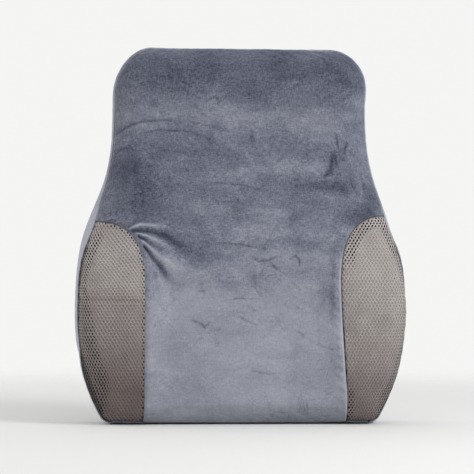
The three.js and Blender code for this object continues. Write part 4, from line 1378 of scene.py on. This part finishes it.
def build_zip():
    x = np.linspace(-TAPE_LONG, TAPE_LONG, 160)
    n = len(x)
    for name, sign in (("upper", 1), ("lower", -1)):
        ripple = 0.06 * np.sin(x / 7.0 + sign)
        path = np.stack([x, TAPE_Y + ripple, np.full(n, ZIP_Z + sign * TAPE_OFF)], 1)
        across = np.linspace(-TAPE_WIDE, TAPE_WIDE, 24)
        outline = flat_ring(across, 0.24 + 0.05 * np.cos(across * 2.6))
        points, faces = sweep(path, np.tile([0, 0, 1.0], (n, 1)), np.tile([0, 1.0, 0], (n, 1)), outline)
        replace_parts(put(f"zip_tape_{name}_woven", points, faces, TAPE, "zip_tape"), f"zip_tape_{name}")
        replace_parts(put(f"zip_coil_{name}_turns", *coil(sign), COIL, "zip_coil"), f"zip_coil_{name}")
    finished("zip_slider", "slider", 0.25, METAL)
    finished("zip_pull", "pull", 0.25, METAL)
    for side in ("left", "right"):
        finished(f"zip_stop_{side}", "cushion", 0.3, METAL)


def coil(sign):
    """One side of the chain: a flattened spiral of nylon wire whose heads hook past the middle."""
    turns = int(2 * COIL_LONG / COIL_PITCH) - 1
    a = np.linspace(0, 2 * math.pi * turns, 12 * turns)
    x = -COIL_LONG + COIL_PITCH * (a / (2 * math.pi) + (0.5 if sign > 0 else 0.0))
    z = ZIP_Z + sign * (COIL_OFF + COIL_WIDE * np.cos(a))
    path = np.stack([x, COIL_Y + COIL_DEEP * np.sin(a), z], 1)
    way = unit(np.gradient(path, axis=0))
    side = unit(np.cross(way, [1.0, 0, 0]))
    return sweep(path, side, np.cross(side, way), ring(COIL_WIRE))


def build_label():
    """A blank satin ribbon folded in half, hanging out of the seam under the zip."""
    z = np.linspace(LABEL_HIGH, LABEL_LOW + 0.4, 26)
    swing = 1.1 * smooth((LABEL_HIGH - z) / 34)
    inner = np.stack([0.52 + swing, z], 1)
    a = np.linspace(math.pi, 2 * math.pi, 9)[1:-1]
    fold = np.stack([0.70 + swing[-1] + 0.18 * np.cos(a), LABEL_LOW + 0.4 + 0.3 * np.sin(a)], 1)
    outer = np.stack([0.88 + swing, z], 1)[::-1]
    path2 = np.concatenate([inner, fold, outer])
    n = len(path2)
    way = unit(np.gradient(path2, axis=0))
    path = np.column_stack([np.full(n, LABEL_X), path2])
    up = np.stack([np.zeros(n), -way[:, 1], way[:, 0]], 1)
    ribbon = rounded_bar(LABEL_WIDE, LABEL_THICK, 0.07)
    points, faces = sweep(path, np.tile([1.0, 0, 0], (n, 1)), up, ribbon)
    label = put("care_ribbon", points, faces, LABEL, "label")
    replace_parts(label, "care_label")


build_front()
build_wings()
build_gussets()
build_back()
build_inside()
build_allowances()
build_zip()
for level in STRAP_Z:
    for kind in ("fixed", "adjustable"):
        build_strap(level, kind)
    finished(f"{level}_buckle_socket", "cushion", 0.45, PLASTIC)
    finished(f"{level}_buckle_plug", f"{level}_plug", 0.4, PLASTIC)
build_label()

# ---- Stage -----------------------------------------------------------------------------------------

# The camera is at the photograph's angle: a long lens, turned a little to the left and rolled.
CAMERA_LENS, CAMERA_YAW, CAMERA_ROLL, CAMERA_AWAY, CAMERA_AIM = 190.3, -5.5, 0.25, 3.2, (-0.0046, 0.0, 0.2374)


def area_light(name, size, watts, place, aim_z):
    """A square light aimed at a height on the cushion's axis."""
    light = bpy.data.lights.new(name, "AREA")
    light.size = size
    light.energy = watts
    lamp = bpy.data.objects.new(name, light)
    bpy.context.scene.collection.objects.link(lamp)
    lamp.location = place
    lamp.rotation_euler = (Vector((0, 0, aim_z)) - lamp.location).to_track_quat("-Z", "Y").to_euler()
    return light


def build_stage():
    scene = bpy.context.scene
    floor_mesh = bpy.data.meshes.new("floor")
    around = np.linspace(0, 2 * math.pi, 64, endpoint=False)
    rim = [(FLOOR_REACH * math.cos(a), FLOOR_REACH * math.sin(a), 0) for a in around]
    floor_mesh.from_pydata(rim, [], [tuple(range(len(rim)))])
    floor = bpy.data.objects.new("floor", floor_mesh)
    scene.collection.objects.link(floor)
    # The floor fades into the backdrop with its distance from the cushion.
    paint = Nodes("floor_paint", (0.745, 0.745, 0.725), 0.8, Specular_IOR_Level=0.2)
    far = paint.node("ShaderNodeVectorMath", {0: paint.coord}, operation="LENGTH").outputs["Value"]
    fade = paint.node("ShaderNodeMapRange", {"Value": far, "From Min": 0.38, "From Max": FLOOR_REACH},
                      interpolation_type="SMOOTHERSTEP").outputs[0]
    clear = paint.node("ShaderNodeBsdfTransparent")
    both = paint.node("ShaderNodeMixShader", {0: fade, 1: paint.shader.outputs[0], 2: clear.outputs[0]})
    paint.link(both.outputs[0], paint.out.inputs[0])
    floor_mesh.materials.append(paint.material)

    # The sky is soft and brighter overhead; seen directly it is a plain pale backdrop.
    world = bpy.data.worlds.new("studio")
    scene.world = world
    world.use_nodes = True
    tree = world.node_tree
    overhead = add_node(tree, "ShaderNodeTexCoord").outputs["Generated"]
    overhead = add_node(tree, "ShaderNodeSeparateXYZ", {0: overhead}).outputs[2]
    height = add_node(tree, "ShaderNodeMapRange", {0: overhead, 3: SKY_LOW, 4: SKY_HIGH})
    soft = tree.nodes["Background"]
    soft.inputs[0].default_value = (0.97, 0.98, 1.0, 1)
    tree.links.new(height.outputs[0], soft.inputs[1])
    plain = add_node(tree, "ShaderNodeBackground", {0: (0.91, 0.91, 0.90, 1)})
    seen = add_node(tree, "ShaderNodeLightPath").outputs["Is Camera Ray"]
    pick = add_node(tree, "ShaderNodeMixShader", {0: seen, 1: soft.outputs[0], 2: plain.outputs[0]})
    tree.links.new(pick.outputs[0], tree.nodes["World Output"].inputs[0])

    area_light("key", 0.8, KEY_WATTS, (1.25, -1.2, 1.5), 0.22)
    area_light("wall_bounce", 1.2, WALL_WATTS, (-1.5, 0.35, 0.55), 0.2).color = (1.0, 0.93, 0.84)

    camera = bpy.data.objects.new("camera", bpy.data.cameras.new("camera"))
    scene.collection.objects.link(camera)
    scene.camera = camera
    camera.data.lens = CAMERA_LENS
    yaw, aim = math.radians(CAMERA_YAW), Vector(CAMERA_AIM)
    camera.location = aim + CAMERA_AWAY * Vector((math.sin(yaw), -math.cos(yaw), 0))
    roll = Quaternion((0, 0, 1), math.radians(CAMERA_ROLL))
    turn = (aim - camera.location).to_track_quat("-Z", "Y") @ roll
    camera.rotation_euler = turn.to_euler()
    scene.view_settings.view_transform = "Standard"


build_stage()
